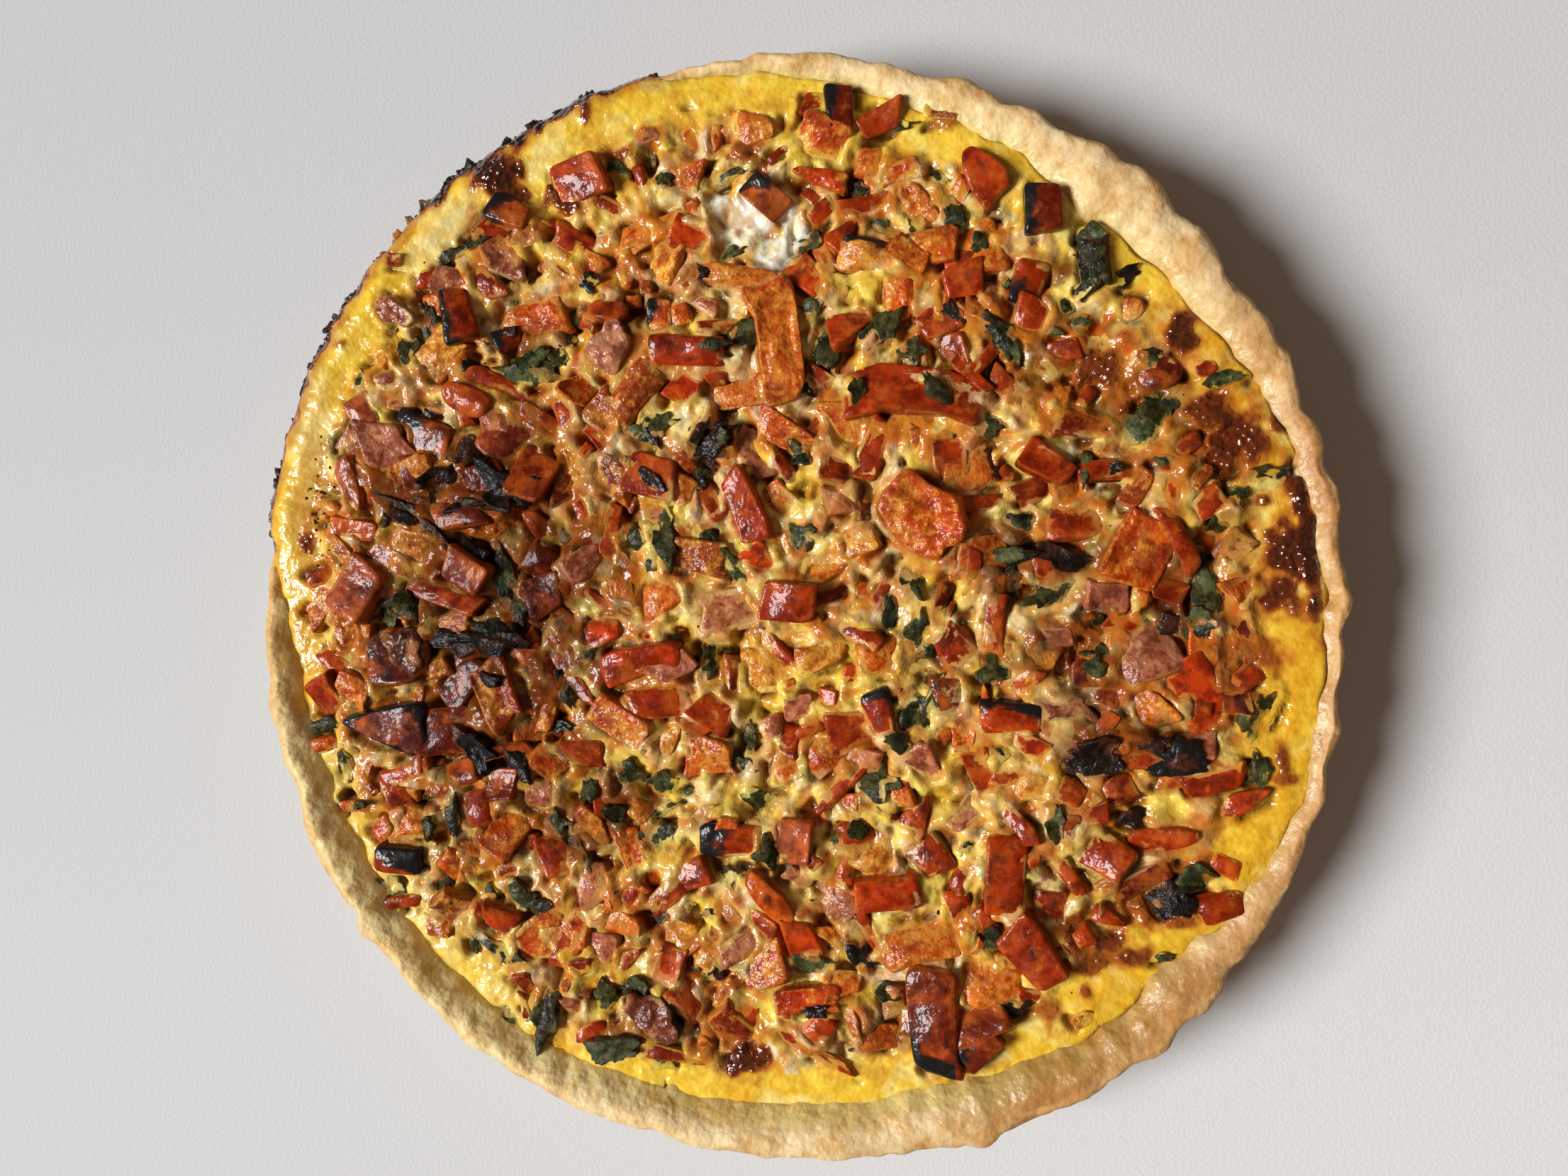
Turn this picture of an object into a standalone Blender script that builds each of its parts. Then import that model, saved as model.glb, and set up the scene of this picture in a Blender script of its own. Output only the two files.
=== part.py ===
"""Quiche out of its tin: a fluted pastry case, its baked filling and the larger toppings.

Metres, +Z up. The origin is at the bottom centre of the whole quiche, +Y points away from
the side with the deepest bare rim. Lengths below are in millimetres until MM scales them.
"""
import math
from collections import namedtuple

import bmesh
import bpy
from mathutils import Matrix, Vector, noise

MM = 0.001
WELD_DISTANCE = 0.000002  # metres; closes the hairline splits that a cut leaves
GAP = 0.35                # clearance between touching pieces

# Driving dimensions of the case, millimetres
RIM_RADIUS = 137.4        # mean radius of the rim, a 28 cm tart tin
WALL_LEAN = 8.5           # the foot of the wall stands this far inside the rim
FLUTES = 50
FLUTE_DEPTH = 1.1         # half of the wave from flute to flute
STATIONS_PER_FLUTE = 3
FLOOR_THICKNESS = 4.5
WALL_FOOT_WIDTH = 13.0    # least width of the wall at the foot of the filling
SUNK = 1.8                # how far the filling's block reaches into the case before the cut
THINNEST_CREST = 1.6

# Section of the case, millimetres
LEAST_WIDTH = 4.0         # least width of the wall at the filling's level
LEAST_CREST = 2.4         # least width of the crest
CREST_SLOPE = 0.9         # how fast the wall's inner side falls back from the crest
CREST_TRIM = 0.5
FOOT_SPREAD = 4.0         # the wall's foot is at least this much wider than its top
BASE_ROUNDING = 2.5       # the flat base ends this far inside the corner
CORNER_HEIGHT = 2.0
RIM_DROP = 3.0            # the rim's widest place lies this far under the crest
SHOULDER_INSET = 1.2
SHOULDER_DROP = 0.8
BROW_DROP = 1.0
LEAST_WALL_DROP = 1.4     # the filling meets the wall at least this far under the crest
FLUTE_SHARE_AT_BASE = 0.45
RIPPLE_HEIGHT = 0.5       # unevenness of the crest
RIPPLE_DEGREES = 7.0

# Slow unevenness of the rim: (waves round the ring, height, angle of a peak in degrees)
OVALS = ((1, 2.1, 267), (2, 1.3, 127), (3, 0.55, 92), (4, 0.75, 45), (5, 0.5, 18))
# Single bulges and chips of the rim: (angle in degrees, half width in degrees, height)
BULGES = ((46.5, 2.4, 1.8), (-62.4, 1.3, 2.8), (-118.5, 2.0, 1.8), (-39, 4.0, 0.9), (91, 3.0, 0.8))

# Round the ring, as (angle in degrees, millimetres): bare rim width, rim height, filling level.
# From 100 to 178 degrees the filling has run over the rim.
RIM_WIDTH = ((0, 5.5), (15, 6), (35, 11), (50, 15), (62, 9.5), (75, 8.5), (90, 5), (98, 3),
             (106, 0.8), (172, 0.8), (178, 6), (188, 8.5), (200, 9.5), (228, 10.5), (250, 11),
             (270, 12), (293, 15), (306, 12), (321, 13), (334, 6), (345, 4.2))
RIM_HEIGHT = ((0, 28.5), (20, 29), (45, 30), (70, 29), (90, 28), (104, 25.8), (173, 25.8),
              (184, 29.5), (200, 30.5), (225, 31), (270, 31), (300, 30.5), (330, 28.5))
FILL_LEVEL = ((0, 27), (45, 27.5), (90, 26.6), (106, 27.2), (172, 27.4), (190, 26), (225, 25.4),
              (270, 25.4), (300, 26), (330, 26.8))
LUMP_HEIGHT = 0.9         # uneven swelling of the filling
LUMP_SPACING = 34.0
CALM_EDGE = 0.86          # share of the radius from which the swelling fades away
FILLING_RINGS = (0.9, 0.75, 0.55, 0.3)   # shares of the radius
BLOCK_DROP = 2.2          # the filling's block starts this far under its lip and the floor
BLOCK_INSET = 3.0

# Form of a topping: corner roundness (2 is an oval), how far one end narrows, how pointed
Form = namedtuple("Form", "corner taper point")
FORMS = {
    "dice": Form(4.0, 0.12, 0.0),
    "strip": Form(5.0, 0.10, 0.0),
    "oval": Form(2.2, 0.05, 0.0),
    "wedge": Form(3.2, 0.66, 0.0),
    "triangle": Form(4.0, 0.88, 0.0),
    "leaf": Form(2.0, 0.15, 0.75),
    "lump": Form(2.5, 0.18, 0.0),
}
# One topping: place, size, turn of the long axis from +X, form, sideways bow, roll and pitch
# in degrees, and height of its middle over the filling
Topping = namedtuple("Topping", "x y length width turn form bow roll pitch lift")
PEPPERS = (
    Topping(-79.7, 74.5, 13.5, 9, 102, "dice", 0, 14, 0, 1.4),
    Topping(-66, 99, 11.5, 9, -25, "wedge", 1.5, -12, 0, 1.2),
    Topping(-77, 53.3, 14, 7.6, -22, "oval", 0, 6, 0, 1.3),
    Topping(-106, 49, 12, 8, -62, "dice", 0, -10, 0, 0.6),
    Topping(18, 121.6, 11, 6.8, 91, "dice", 0, 8, 0, 1.2),
    Topping(0.5, 101, 12, 9, -42, "wedge", 0, 8, 4, 1.6),
    Topping(-20, 62.8, 18.5, 8.5, -4, "wedge", 2.5, 10, 0, 1.6),
    Topping(36.5, 54.3, 32, 10, -6, "strip", -3.2, -9, 0, 1.7),
    Topping(53.2, 103.8, 14.5, 12.6, -48, "oval", 0, 6, 0, 1.3),
    Topping(66.5, 95, 11.5, 10, 95, "dice", 0, 8, 5, 1.4),
    Topping(-109.5, 32, 14.5, 10, -68, "wedge", 0, 14, 0, 1.0),
    Topping(-108.8, 20.4, 13, 6.4, -6, "dice", 0, 10, 0, 1.2),
    Topping(-108.8, 4.2, 15.5, 13.5, 62, "dice", 0, -10, 0, 2.0),
    Topping(-77.8, 9.4, 12, 10, -30, "dice", 0, 7, 0, 1.6),
    Topping(-101.5, -30.8, 16.5, 30, 87, "triangle", 0, 2, -10, 2.2),
    Topping(-28.8, 33, 13, 11.5, -14, "dice", 0, -5, 0, 1.5),
    Topping(-5.2, 25.2, 18, 8.4, -68, "strip", 1.0, 10, 0, 1.6),
    Topping(6.2, 2.6, 14, 11, -6, "dice", 0, 8, 0, 1.6),
    Topping(-32, -14.5, 20, 7.4, 14, "strip", 1.6, 10, 0, 1.5),
    Topping(29, -26, 13, 8.4, -78, "dice", 0, 12, 8, 1.3),
    Topping(68, 35, 13, 8, -30, "dice", 0, -12, 0, 1.2),
    Topping(60.3, -25, 14.5, 8.8, -2, "dice", 0, 6, 0, 1.4),
    Topping(-99, -67, 13, 7.6, -3, "dice", 0, 12, 0, 1.6),
    Topping(-8.8, -58, 15.5, 9.8, -3, "dice", 0, 8, 0, 1.6),
    Topping(7, -57.6, 12, 11, 75, "dice", 0, -8, 0, 1.2),
    Topping(1.2, -73, 17.5, 7.4, -48, "oval", 0, 5, 0, 1.3),
    Topping(30.5, -69.7, 17, 10.8, 8, "wedge", 0, 12, 0, 1.5),
    Topping(41, -101.5, 26, 12.4, -86, "strip", 1.8, 9, 0, 1.8),
    Topping(59, -64, 20.5, 12.4, 87, "wedge", 0, 8, 0, 1.6),
    Topping(66, -82.6, 17.5, 12, -52, "dice", 0, 10, 0, 1.8),
    Topping(53.4, -106.8, 10.8, 8.2, 40, "dice", 0, -6, 0, 1.8),
)
TOMATOES = (
    Topping(14, 104.6, 14, 5.8, -18, "strip", 0.8, 0, 0, 1.0),
    Topping(26, 86, 15, 9, -10, "lump", 0, 8, 0, 1.2),
    Topping(40.8, 87, 11.5, 10, 10, "wedge", 0, 6, 0, 1.2),
    Topping(3.6, 66.5, 27, 10.6, 102, "strip", 1.0, 6, 0, 1.5),
    Topping(-33, 54.5, 14.5, 9.5, 48, "lump", 0, 10, 0, 1.0),
    Topping(39, 23.6, 22, 19, -35, "lump", 0, 8, 0, 1.9),
    Topping(-17, 13.6, 17, 11, -6, "lump", 0, 5, 0, 0.9),
    Topping(-38, -29, 17.5, 11.5, -32, "lump", 0, 9, 0, 1.1),
    Topping(-71, -22.4, 17, 11.5, -62, "lump", 0, -8, 0, 1.4),
    Topping(-110.6, -21.8, 10.5, 8.6, -30, "dice", 0, 6, 0, 1.3),
    Topping(89.5, 15, 17.5, 16.5, 60, "lump", 0, 7, 0, 1.2),
    Topping(10.5, -97, 17, 9, 8, "wedge", 0, 8, 0, 1.2),
)
HAM = (
    Topping(-96, 75.5, 11, 7.6, -32, "wedge", 0, 8, 0, 1.3),
    Topping(-39.3, 66.5, 13.5, 11.5, 70, "lump", 0, 5, 0, 1.3),
    Topping(-95, -12, 14.5, 12, -62, "lump", 0, 6, 0, 1.6),
    Topping(-28.5, -105, 17, 12, -34, "lump", 0, 8, 0, 1.8),
)
LEAVES = (
    Topping(27.5, 67.6, 13, 8.5, 42, "leaf", 0, 8, 0, 1.2),
    Topping(78, 81, 12.5, 9.4, -82, "dice", 0, 10, 0, 1.3),
    Topping(57, 64.5, 15, 6.4, -58, "leaf", 0.8, 8, 0, 1.1),
    Topping(-70, -6.6, 17, 9.4, -16, "leaf", 0, 7, 0, 1.2),
    Topping(-58.6, -106.6, 17.5, 8.6, 76, "leaf", 0, 8, 4, 1.8),
    Topping(-39.5, -113.8, 13.5, 8.4, 16, "lump", 0, 8, 0, 1.3),
)
CHARRED = (
    Topping(-92.6, 23.4, 22, 4.2, -33, "leaf", 1.0, 10, 0, 1.8),
    Topping(-66, 31.5, 12.5, 8.4, -14, "dice", 0, 8, 0, 1.7),
    Topping(-77, -35.6, 13.5, 9.4, -38, "dice", 0, 14, 0, 1.6),
    Topping(-13, 43, 11.5, 8.6, 20, "leaf", 0, 6, 0, 1.6),
    Topping(99, -33.6, 13, 8.8, 12, "lump", 0, 8, 0, 1.5),
)
# Kind of topping: its pieces, thickness in millimetres, colour and roughness
Kind = namedtuple("Kind", "pieces thickness colour roughness")
KINDS = {
    "pepper": Kind(PEPPERS, 5.6, (0.42, 0.035, 0.012), 0.25),
    "tomato": Kind(TOMATOES, 5.6, (0.55, 0.11, 0.014), 0.35),
    "ham": Kind(HAM, 5.8, (0.33, 0.11, 0.045), 0.4),
    "leaf": Kind(LEAVES, 4.2, (0.030, 0.042, 0.012), 0.4),
    "charred": Kind(CHARRED, 5.0, (0.010, 0.009, 0.008), 0.5),
}
SLICES_ROUND = 7          # outline points of a small topping
SLICES_ROUND_LARGE = 10
LARGE_LENGTH = 18.0
TOPPING_UNEVENNESS = 0.07
# Section of a topping: share of its outline, and level as a share of its thickness
TOPPING_SECTION = ((0.86, -0.5), (1.0, 0.12), (0.84, 0.5))
TOPPING_RIPPLE = 0.5      # rise and fall of its edge, millimetres
TOPPING_DOME = 0.4


# Small helpers ---------------------------------------------------------------------------

def clear_scene():
    """Remove whatever objects the open file holds."""
    for old in list(bpy.data.objects):
        bpy.data.objects.remove(old, do_unlink=True)


def material(name, colour, roughness):
    """One Principled material."""
    made = bpy.data.materials.new(name)
    made.use_nodes = True
    shader = made.node_tree.nodes["Principled BSDF"]
    shader.inputs["Base Color"].default_value = (*colour, 1.0)
    shader.inputs["Roughness"].default_value = roughness
    return made


def around(stations, degrees):
    """Value at an angle, eased between stations (angle, value) that go round the ring."""
    degrees %= 360
    closed = stations + ((stations[0][0] + 360, stations[0][1]),)
    for (start, low), (end, high) in zip(closed, closed[1:]):
        if start <= degrees <= end:
            share = (degrees - start) / (end - start)
            share = share * share * (3 - 2 * share)
            return low + (high - low) * share
    raise ValueError(degrees)


def add_object(name, shape, surface):
    """Turn a finished bmesh in millimetres into a named object in metres."""
    bmesh.ops.scale(shape, vec=(MM, MM, MM), verts=shape.verts)
    mesh = bpy.data.meshes.new(name)
    shape.to_mesh(mesh)
    shape.free()
    mesh.materials.append(surface)
    mesh.shade_smooth()
    mesh.set_sharp_from_angle(angle=math.radians(50))
    made = bpy.data.objects.new(name, mesh)
    bpy.context.scene.collection.objects.link(made)
    return made


def skin_rings(shape, rings, first_centre, last_centre):
    """Join rings into a closed skin with a fan at either end; a ring may be coarser, by a
    whole number, than the one before it."""
    rows = [[shape.verts.new(point) for point in ring] for ring in rings]
    for fine, coarse in zip(rows, rows[1:]):
        step = len(fine) // len(coarse)
        for i in range(len(coarse)):
            low = [fine[(i * step + k) % len(fine)] for k in range(step + 1)]
            shape.faces.new((*low, coarse[(i + 1) % len(coarse)], coarse[i]))
    for centre, row in ((first_centre, rows[0]), (last_centre, rows[-1])):
        hub = shape.verts.new(centre)
        for i in range(len(row)):
            shape.faces.new((hub, row[i], row[(i + 1) % len(row)]))
    bmesh.ops.triangulate(shape, faces=shape.faces)
    bmesh.ops.recalc_face_normals(shape, faces=shape.faces)
    if shape.calc_volume(signed=True) < 0:
        bmesh.ops.reverse_faces(shape, faces=shape.faces)


# The case --------------------------------------------------------------------------------

def rim_outline(degrees):
    """Outer radius of the rim: slow ovals, one scallop for each flute, and single bulges."""
    radius = RIM_RADIUS
    for waves, height, peak in OVALS:
        radius += height * math.cos(math.radians(waves * (degrees - peak)))
    flute = math.cos(math.radians(FLUTES * degrees - 180))
    uneven = 1 + 0.6 * noise.noise(Vector((degrees / 24, 3.1, 0)))
    radius += FLUTE_DEPTH * uneven * flute
    for angle, half_width, height in BULGES:
        away = (degrees - angle + 180) % 360 - 180
        radius += height * math.exp(-(away / half_width) ** 2)
    return radius


def rim_height(degrees):
    """Height of the rim's crest, a little uneven."""
    return around(RIM_HEIGHT, degrees) + \
        RIPPLE_HEIGHT * noise.noise(Vector((degrees / RIPPLE_DEGREES, 0, 8.2)))


def polar(radius, height, degrees):
    """Point at a radius, a height and an angle in degrees."""
    angle = math.radians(degrees)
    return Vector((radius * math.cos(angle), radius * math.sin(angle), height))


def case_profile(degrees, grow):
    """Section of the case from under its edge, over the crest, to the foot of the filling."""
    rim = rim_outline(degrees)
    crest = rim_height(degrees)
    level = around(FILL_LEVEL, degrees)
    width = max(around(RIM_WIDTH, degrees), LEAST_WIDTH)
    crest_width = max(width - CREST_SLOPE * max(crest - level, 0) - CREST_TRIM, LEAST_CREST)
    foot_width = max(width + FOOT_SPREAD, WALL_FOOT_WIDTH)
    straight = RIM_RADIUS + FLUTE_SHARE_AT_BASE * (rim - RIM_RADIUS)
    return (
        (straight - WALL_LEAN - BASE_ROUNDING + grow, -grow),
        (straight - WALL_LEAN + grow, CORNER_HEIGHT),
        (rim + grow, crest - RIM_DROP),
        (rim - SHOULDER_INSET + grow, crest - SHOULDER_DROP + grow),
        (rim - 0.5 * crest_width, crest + grow),
        (rim - crest_width - grow, crest - BROW_DROP + grow),
        (rim - width - grow, min(level, crest - LEAST_WALL_DROP)),
        (rim - foot_width - grow, FLOOR_THICKNESS + grow),
    )


def case_shape(grow=0.0):
    """The pastry case; with grow it is a cutter that leaves a gap."""
    shape = bmesh.new()
    count = FLUTES * STATIONS_PER_FLUTE
    angles = [360 * i / count for i in range(count)]
    sections = [case_profile(angle, grow) for angle in angles]
    rings = [[polar(*point, angle) for point, angle in zip(ring, angles)]
             for ring in zip(*sections)]
    skin_rings(shape, rings, (0, 0, -grow), (0, 0, FLOOR_THICKNESS + grow))
    return shape


# The filling -----------------------------------------------------------------------------

def filling_surface(x, y):
    """Height of the filling's uneven top at a place."""
    degrees = math.degrees(math.atan2(y, x))
    share = math.hypot(x, y) / RIM_RADIUS
    lumps = noise.noise(Vector((x / LUMP_SPACING, y / LUMP_SPACING, 1.7)))
    edge = max(share - CALM_EDGE, 0) / (1 - CALM_EDGE)
    return around(FILL_LEVEL, degrees) + LUMP_HEIGHT * lumps * (1 - min(edge, 1))


def filling_edge(degrees):
    """Radius at which the filling's top runs into the case, or over its crest."""
    rim = rim_outline(degrees)
    level = around(FILL_LEVEL, degrees)
    if level > rim_height(degrees):
        return rim - around(RIM_WIDTH, degrees)
    (upper, high), (lower, low) = case_profile(degrees, 0)[5:7]
    share = min(max((level - low) / (high - low), 0), 1)
    return min(lower + (upper - lower) * share + SUNK, rim - THINNEST_CREST)


def filling_block():
    """The filling before the case is cut from it; its side runs inside the case."""
    shape = bmesh.new()
    count = FLUTES * STATIONS_PER_FLUTE
    edge, lip, foot = [], [], []
    for i in range(count):
        angle = 360 * i / count
        top = around(FILL_LEVEL, angle)
        radius = filling_edge(angle)
        base = case_profile(angle, 0)[1][0]
        edge.append(polar(radius, top, angle))
        lip.append(polar(radius, min(top, rim_height(angle)) - BLOCK_DROP, angle))
        foot.append(polar(base - BLOCK_INSET, FLOOR_THICKNESS - BLOCK_DROP, angle))
    rings = [edge, lip, foot]
    for share in FILLING_RINGS:
        ring = [polar(share * RIM_RADIUS, 0, 360 * i / FLUTES) for i in range(FLUTES)]
        rings.insert(0, [Vector((p.x, p.y, filling_surface(p.x, p.y))) for p in ring])
    skin_rings(shape, rings[::-1], (0, 0, FLOOR_THICKNESS - BLOCK_DROP),
               (0, 0, filling_surface(0, 0)))
    return shape


# The toppings ----------------------------------------------------------------------------

def outline_point(form, angle):
    """Point of a topping's outline in a square from -1 to 1."""
    power = 2 / form.corner
    along = math.copysign(abs(math.cos(angle)) ** power, math.cos(angle))
    across = math.copysign(abs(math.sin(angle)) ** power, math.sin(angle))
    across *= 1 - form.taper * (0.5 + 0.5 * along)
    across *= 1 - form.point * along * along
    return along, across


def topping_shape(piece, thickness, number, grow=0.0):
    """One topping as a soft-edged plate, set in its place in the filling."""
    form = FORMS[piece.form]
    count = SLICES_ROUND_LARGE if piece.length > LARGE_LENGTH else SLICES_ROUND
    half_length = 0.5 * piece.length
    half_width = 0.5 * piece.width
    rings = []
    for inset, level in TOPPING_SECTION:
        ring = []
        for i in range(count):
            along, across = outline_point(form, math.tau * (i + 0.5) / count)
            uneven = noise.noise(Vector((i * 0.9, number * 3.3, level)))
            scale = inset * (1 + TOPPING_UNEVENNESS * uneven)
            x = along * (half_length * scale + grow)
            y = across * (half_width * scale + grow) + piece.bow * (1 - along * along)
            z = level * (thickness + 2 * grow) + TOPPING_RIPPLE * uneven
            ring.append(Vector((x, y, z)))
        rings.append(ring)
    shape = bmesh.new()
    under = (0, piece.bow, -0.5 * thickness - grow)
    above = (0, piece.bow, 0.5 * thickness + grow + TOPPING_DOME)
    skin_rings(shape, rings, under, above)
    height = filling_surface(piece.x, piece.y) + piece.lift
    place = Matrix.Translation((piece.x, piece.y, height))
    turned = Matrix.Rotation(math.radians(piece.turn), 4, "Z")
    rolled = Matrix.Rotation(math.radians(piece.roll), 4, "X")
    pitched = Matrix.Rotation(math.radians(piece.pitch), 4, "Y")
    shape.transform(place @ turned @ pitched @ rolled)
    return shape


def toppings():
    """Every topping as (name, kind, piece, number)."""
    for name, kind in KINDS.items():
        for number, piece in enumerate(kind.pieces, 1):
            yield f"{name}_{number:02d}", kind, piece, number


def cut(target, cutter_shape, name):
    """Cut a closed shape out of an object with the exact solver."""
    cutter = add_object(name, cutter_shape, target.data.materials[0])
    cutter.hide_render = True
    cutter.display_type = "WIRE"
    boolean = target.modifiers.new(name, "BOOLEAN")
    boolean.operation = "DIFFERENCE"
    boolean.solver = "EXACT"
    boolean.object = cutter


def all_pockets():
    """One shape of every hole that a topping sits in."""
    joined = bmesh.new()
    for _, kind, piece, number in toppings():
        single = topping_shape(piece, kind.thickness, number, GAP)
        holder = bpy.data.meshes.new("pocket")
        single.to_mesh(holder)
        joined.from_mesh(holder)
        single.free()
        bpy.data.meshes.remove(holder)
    return joined


def centre_on_origin():
    """Move everything so that the case's outline is centred over the origin."""
    corners = [Vector(corner) for corner in bpy.data.objects["crust"].bound_box]
    middle = sum(corners, Vector()) / len(corners)
    for item in bpy.data.objects:
        item.location = (-middle.x, -middle.y, 0)


def build():
    """Model the quiche."""
    clear_scene()
    pastry = material("pastry", (0.72, 0.44, 0.19), 0.55)
    custard = material("custard", (0.78, 0.47, 0.06), 0.3)
    add_object("crust", case_shape(), pastry)
    filling = add_object("filling", filling_block(), custard)
    cut(filling, case_shape(GAP), "case_cutter")
    cut(filling, all_pockets(), "pocket_cutter")
    weld = filling.modifiers.new("close_slivers", "WELD")
    weld.merge_threshold = WELD_DISTANCE
    for name, kind, piece, number in toppings():
        surface = material(name, kind.colour, kind.roughness)
        add_object(name, topping_shape(piece, kind.thickness, number), surface)
    centre_on_origin()


build()
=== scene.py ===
import itertools
import math
from collections import namedtuple

import bpy
import numpy as np
from mathutils import Matrix, Vector


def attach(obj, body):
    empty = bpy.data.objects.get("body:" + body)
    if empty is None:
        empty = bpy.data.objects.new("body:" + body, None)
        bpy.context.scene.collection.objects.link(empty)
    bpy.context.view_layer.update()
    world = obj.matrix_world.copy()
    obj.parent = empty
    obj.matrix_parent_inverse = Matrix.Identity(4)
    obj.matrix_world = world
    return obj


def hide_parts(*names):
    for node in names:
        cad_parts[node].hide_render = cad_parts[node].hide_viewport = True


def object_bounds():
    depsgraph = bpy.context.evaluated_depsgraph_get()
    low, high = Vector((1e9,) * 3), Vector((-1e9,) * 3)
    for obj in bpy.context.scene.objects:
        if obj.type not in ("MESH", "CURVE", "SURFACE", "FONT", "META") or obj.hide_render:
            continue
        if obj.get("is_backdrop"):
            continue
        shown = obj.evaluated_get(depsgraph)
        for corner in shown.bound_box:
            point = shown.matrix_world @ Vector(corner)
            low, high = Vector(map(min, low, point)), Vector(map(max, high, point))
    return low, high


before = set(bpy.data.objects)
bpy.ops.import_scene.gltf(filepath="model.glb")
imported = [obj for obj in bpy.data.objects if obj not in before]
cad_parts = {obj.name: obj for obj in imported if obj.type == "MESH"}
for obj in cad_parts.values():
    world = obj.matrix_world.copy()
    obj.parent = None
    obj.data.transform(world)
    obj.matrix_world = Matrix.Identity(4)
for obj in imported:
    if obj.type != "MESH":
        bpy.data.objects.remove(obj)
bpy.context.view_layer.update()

# Quiche: the look of the baked case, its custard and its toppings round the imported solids.
# Lengths are in millimetres until MM scales them. +Z is up.
MM = 0.001
RNG = np.random.default_rng(20)

# Colours, linear RGB
YELLOW = (0.83, 0.57, 0.055)
GOLD = (0.74, 0.38, 0.022)
HONEY = (0.79, 0.48, 0.030)
CREAM = (0.84, 0.68, 0.20)
PALE = (0.80, 0.66, 0.36)
TOAST = (0.46, 0.15, 0.016)
BROWN = (0.17, 0.038, 0.006)
BLACK = (0.016, 0.010, 0.006)
WHITE = (0.86, 0.86, 0.72)
BRIGHT = (0.48, 0.042, 0.003)
RED = (0.32, 0.028, 0.002)
DEEP = (0.15, 0.014, 0.003)
MAROON = (0.060, 0.013, 0.009)
ROSY = (0.42, 0.100, 0.036)
FLAME = (0.52, 0.085, 0.005)
ORANGE = (0.58, 0.150, 0.014)
AMBER = (0.62, 0.28, 0.030)
RUST = (0.30, 0.065, 0.010)
LEAF = (0.040, 0.035, 0.008)
DARKLEAF = (0.019, 0.015, 0.005)
OLIVE = (0.20, 0.19, 0.035)
SAGE = (0.34, 0.35, 0.12)
MEAT = (0.30, 0.085, 0.036)
MEATLUMP = (0.085, 0.024, 0.012)
ONION = (0.68, 0.47, 0.20)
JUICE = (0.50, 0.13, 0.012)
# Painted shade for the trenches beside pieces
GAP_SHADE = (0.13, 0.045, 0.010)


CHEESE = (0.80, 0.70, 0.46)
DOUGH = (0.66, 0.43, 0.165)
PALE_DOUGH = (0.83, 0.66, 0.38)
BROWN_DOUGH = (0.58, 0.33, 0.11)
FLOUR = (0.80, 0.63, 0.36)
CRUMB_BROWN = (0.36, 0.20, 0.08)
SINGED = (0.16, 0.06, 0.02)

# How many seeded marks the custard gets, and how dark a burn has no toppings on it
MOSAIC_CHIPS = 620
SMALL_MOUNDS = 220
SMALL_PITS = 110
PALE_PATCHES = 470
SMALL_FLECKS = 760
BARE_BURN = 0.7

# Fineness of the meshes: rings of the custard, and columns round the case
CUSTARD_RINGS = 152
CASE_COLUMNS = 720
FLOOR_LEVEL = 5.2             # the custard's underside, just over the case's floor


# Numbers ---------------------------------------------------------------------------------

def smooth(value, low, high):
    """0 below low, 1 above high, and smooth between them; low may be the higher one."""
    t = np.clip((value - low) / (high - low), 0, 1)
    return t * t * (3 - 2 * t)


def hashed(cells, seed):
    """A number from -1 to 1 for each row of whole numbers."""
    primes = (73856093, 19349663, 83492791)
    mixed = np.full(len(cells), seed * 39916801 + 12345, np.int64)
    for column, prime in zip(cells.T, primes):
        mixed ^= column * prime
    mixed = (mixed ^ (mixed >> 13)) * 1274126177
    mixed = (mixed ^ (mixed >> 15)) * 668265263
    return ((mixed ^ (mixed >> 17)) & 0xFFFF) / 32767.5 - 1


def rough(points, size, seed, octaves=1):
    """Smooth noise from -1 to 1 whose bumps are about size wide."""
    points = np.asarray(points, float)
    total, strength, most = np.zeros(len(points)), 1.0, 0.0
    for octave in range(octaves):
        scaled = points / size + 0.37 * octave
        cells = np.floor(scaled).astype(np.int64)
        part = scaled - cells
        part = part * part * (3 - 2 * part)
        for corner in range(2 ** points.shape[1]):
            step = np.array([corner >> axis & 1 for axis in range(points.shape[1])])
            share = np.prod(np.where(step, part, 1 - part), axis=1)
            total += strength * share * hashed(cells + step, seed + 31 * octave)
        most += strength
        strength *= 0.5
        size *= 0.5
    return total / most * 1.4


def around(values, degrees):
    """Smooth value at each angle of a closed ring of evenly spaced values."""
    values = np.asarray(values, float)
    place = np.asarray(degrees, float) % 360 / 360 * len(values)
    first = np.floor(place).astype(int)
    t = place - first
    a, b, c, d = (values[(first + k) % len(values)] for k in (-1, 0, 1, 2))
    return b + 0.5 * t * (c - a + t * (2 * a - 5 * b + 4 * c - d + t * (3 * (b - c) + d - a)))


def between(stops, degrees):
    """Value at each angle from (angle, value) stops round the ring."""
    angles, values = np.array(stops, float).T
    angles = np.concatenate((angles - 360, angles, angles + 360))
    return np.interp(np.asarray(degrees) % 360, angles, np.tile(values, 3))


def mixed(a, b, share):
    """Colours a with a share of b in them."""
    return a + (np.asarray(b) - a) * np.asarray(share)[..., None]


# The frame's rings -----------------------------------------------------------------------

def node_mesh(name):
    """A CAD node's corners without repeats, in millimetres, and its triangles."""
    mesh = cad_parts[name].data
    mesh.calc_loop_triangles()
    corners = np.empty(len(mesh.vertices) * 3)
    mesh.vertices.foreach_get("co", corners)
    triangles = np.empty(len(mesh.loop_triangles) * 3, int)
    mesh.loop_triangles.foreach_get("vertices", triangles)
    found, number = np.unique(corners.reshape(-1, 3).round(7), axis=0, return_inverse=True)
    return found / MM, number.reshape(-1)[triangles].reshape(-1, 3)


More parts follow.
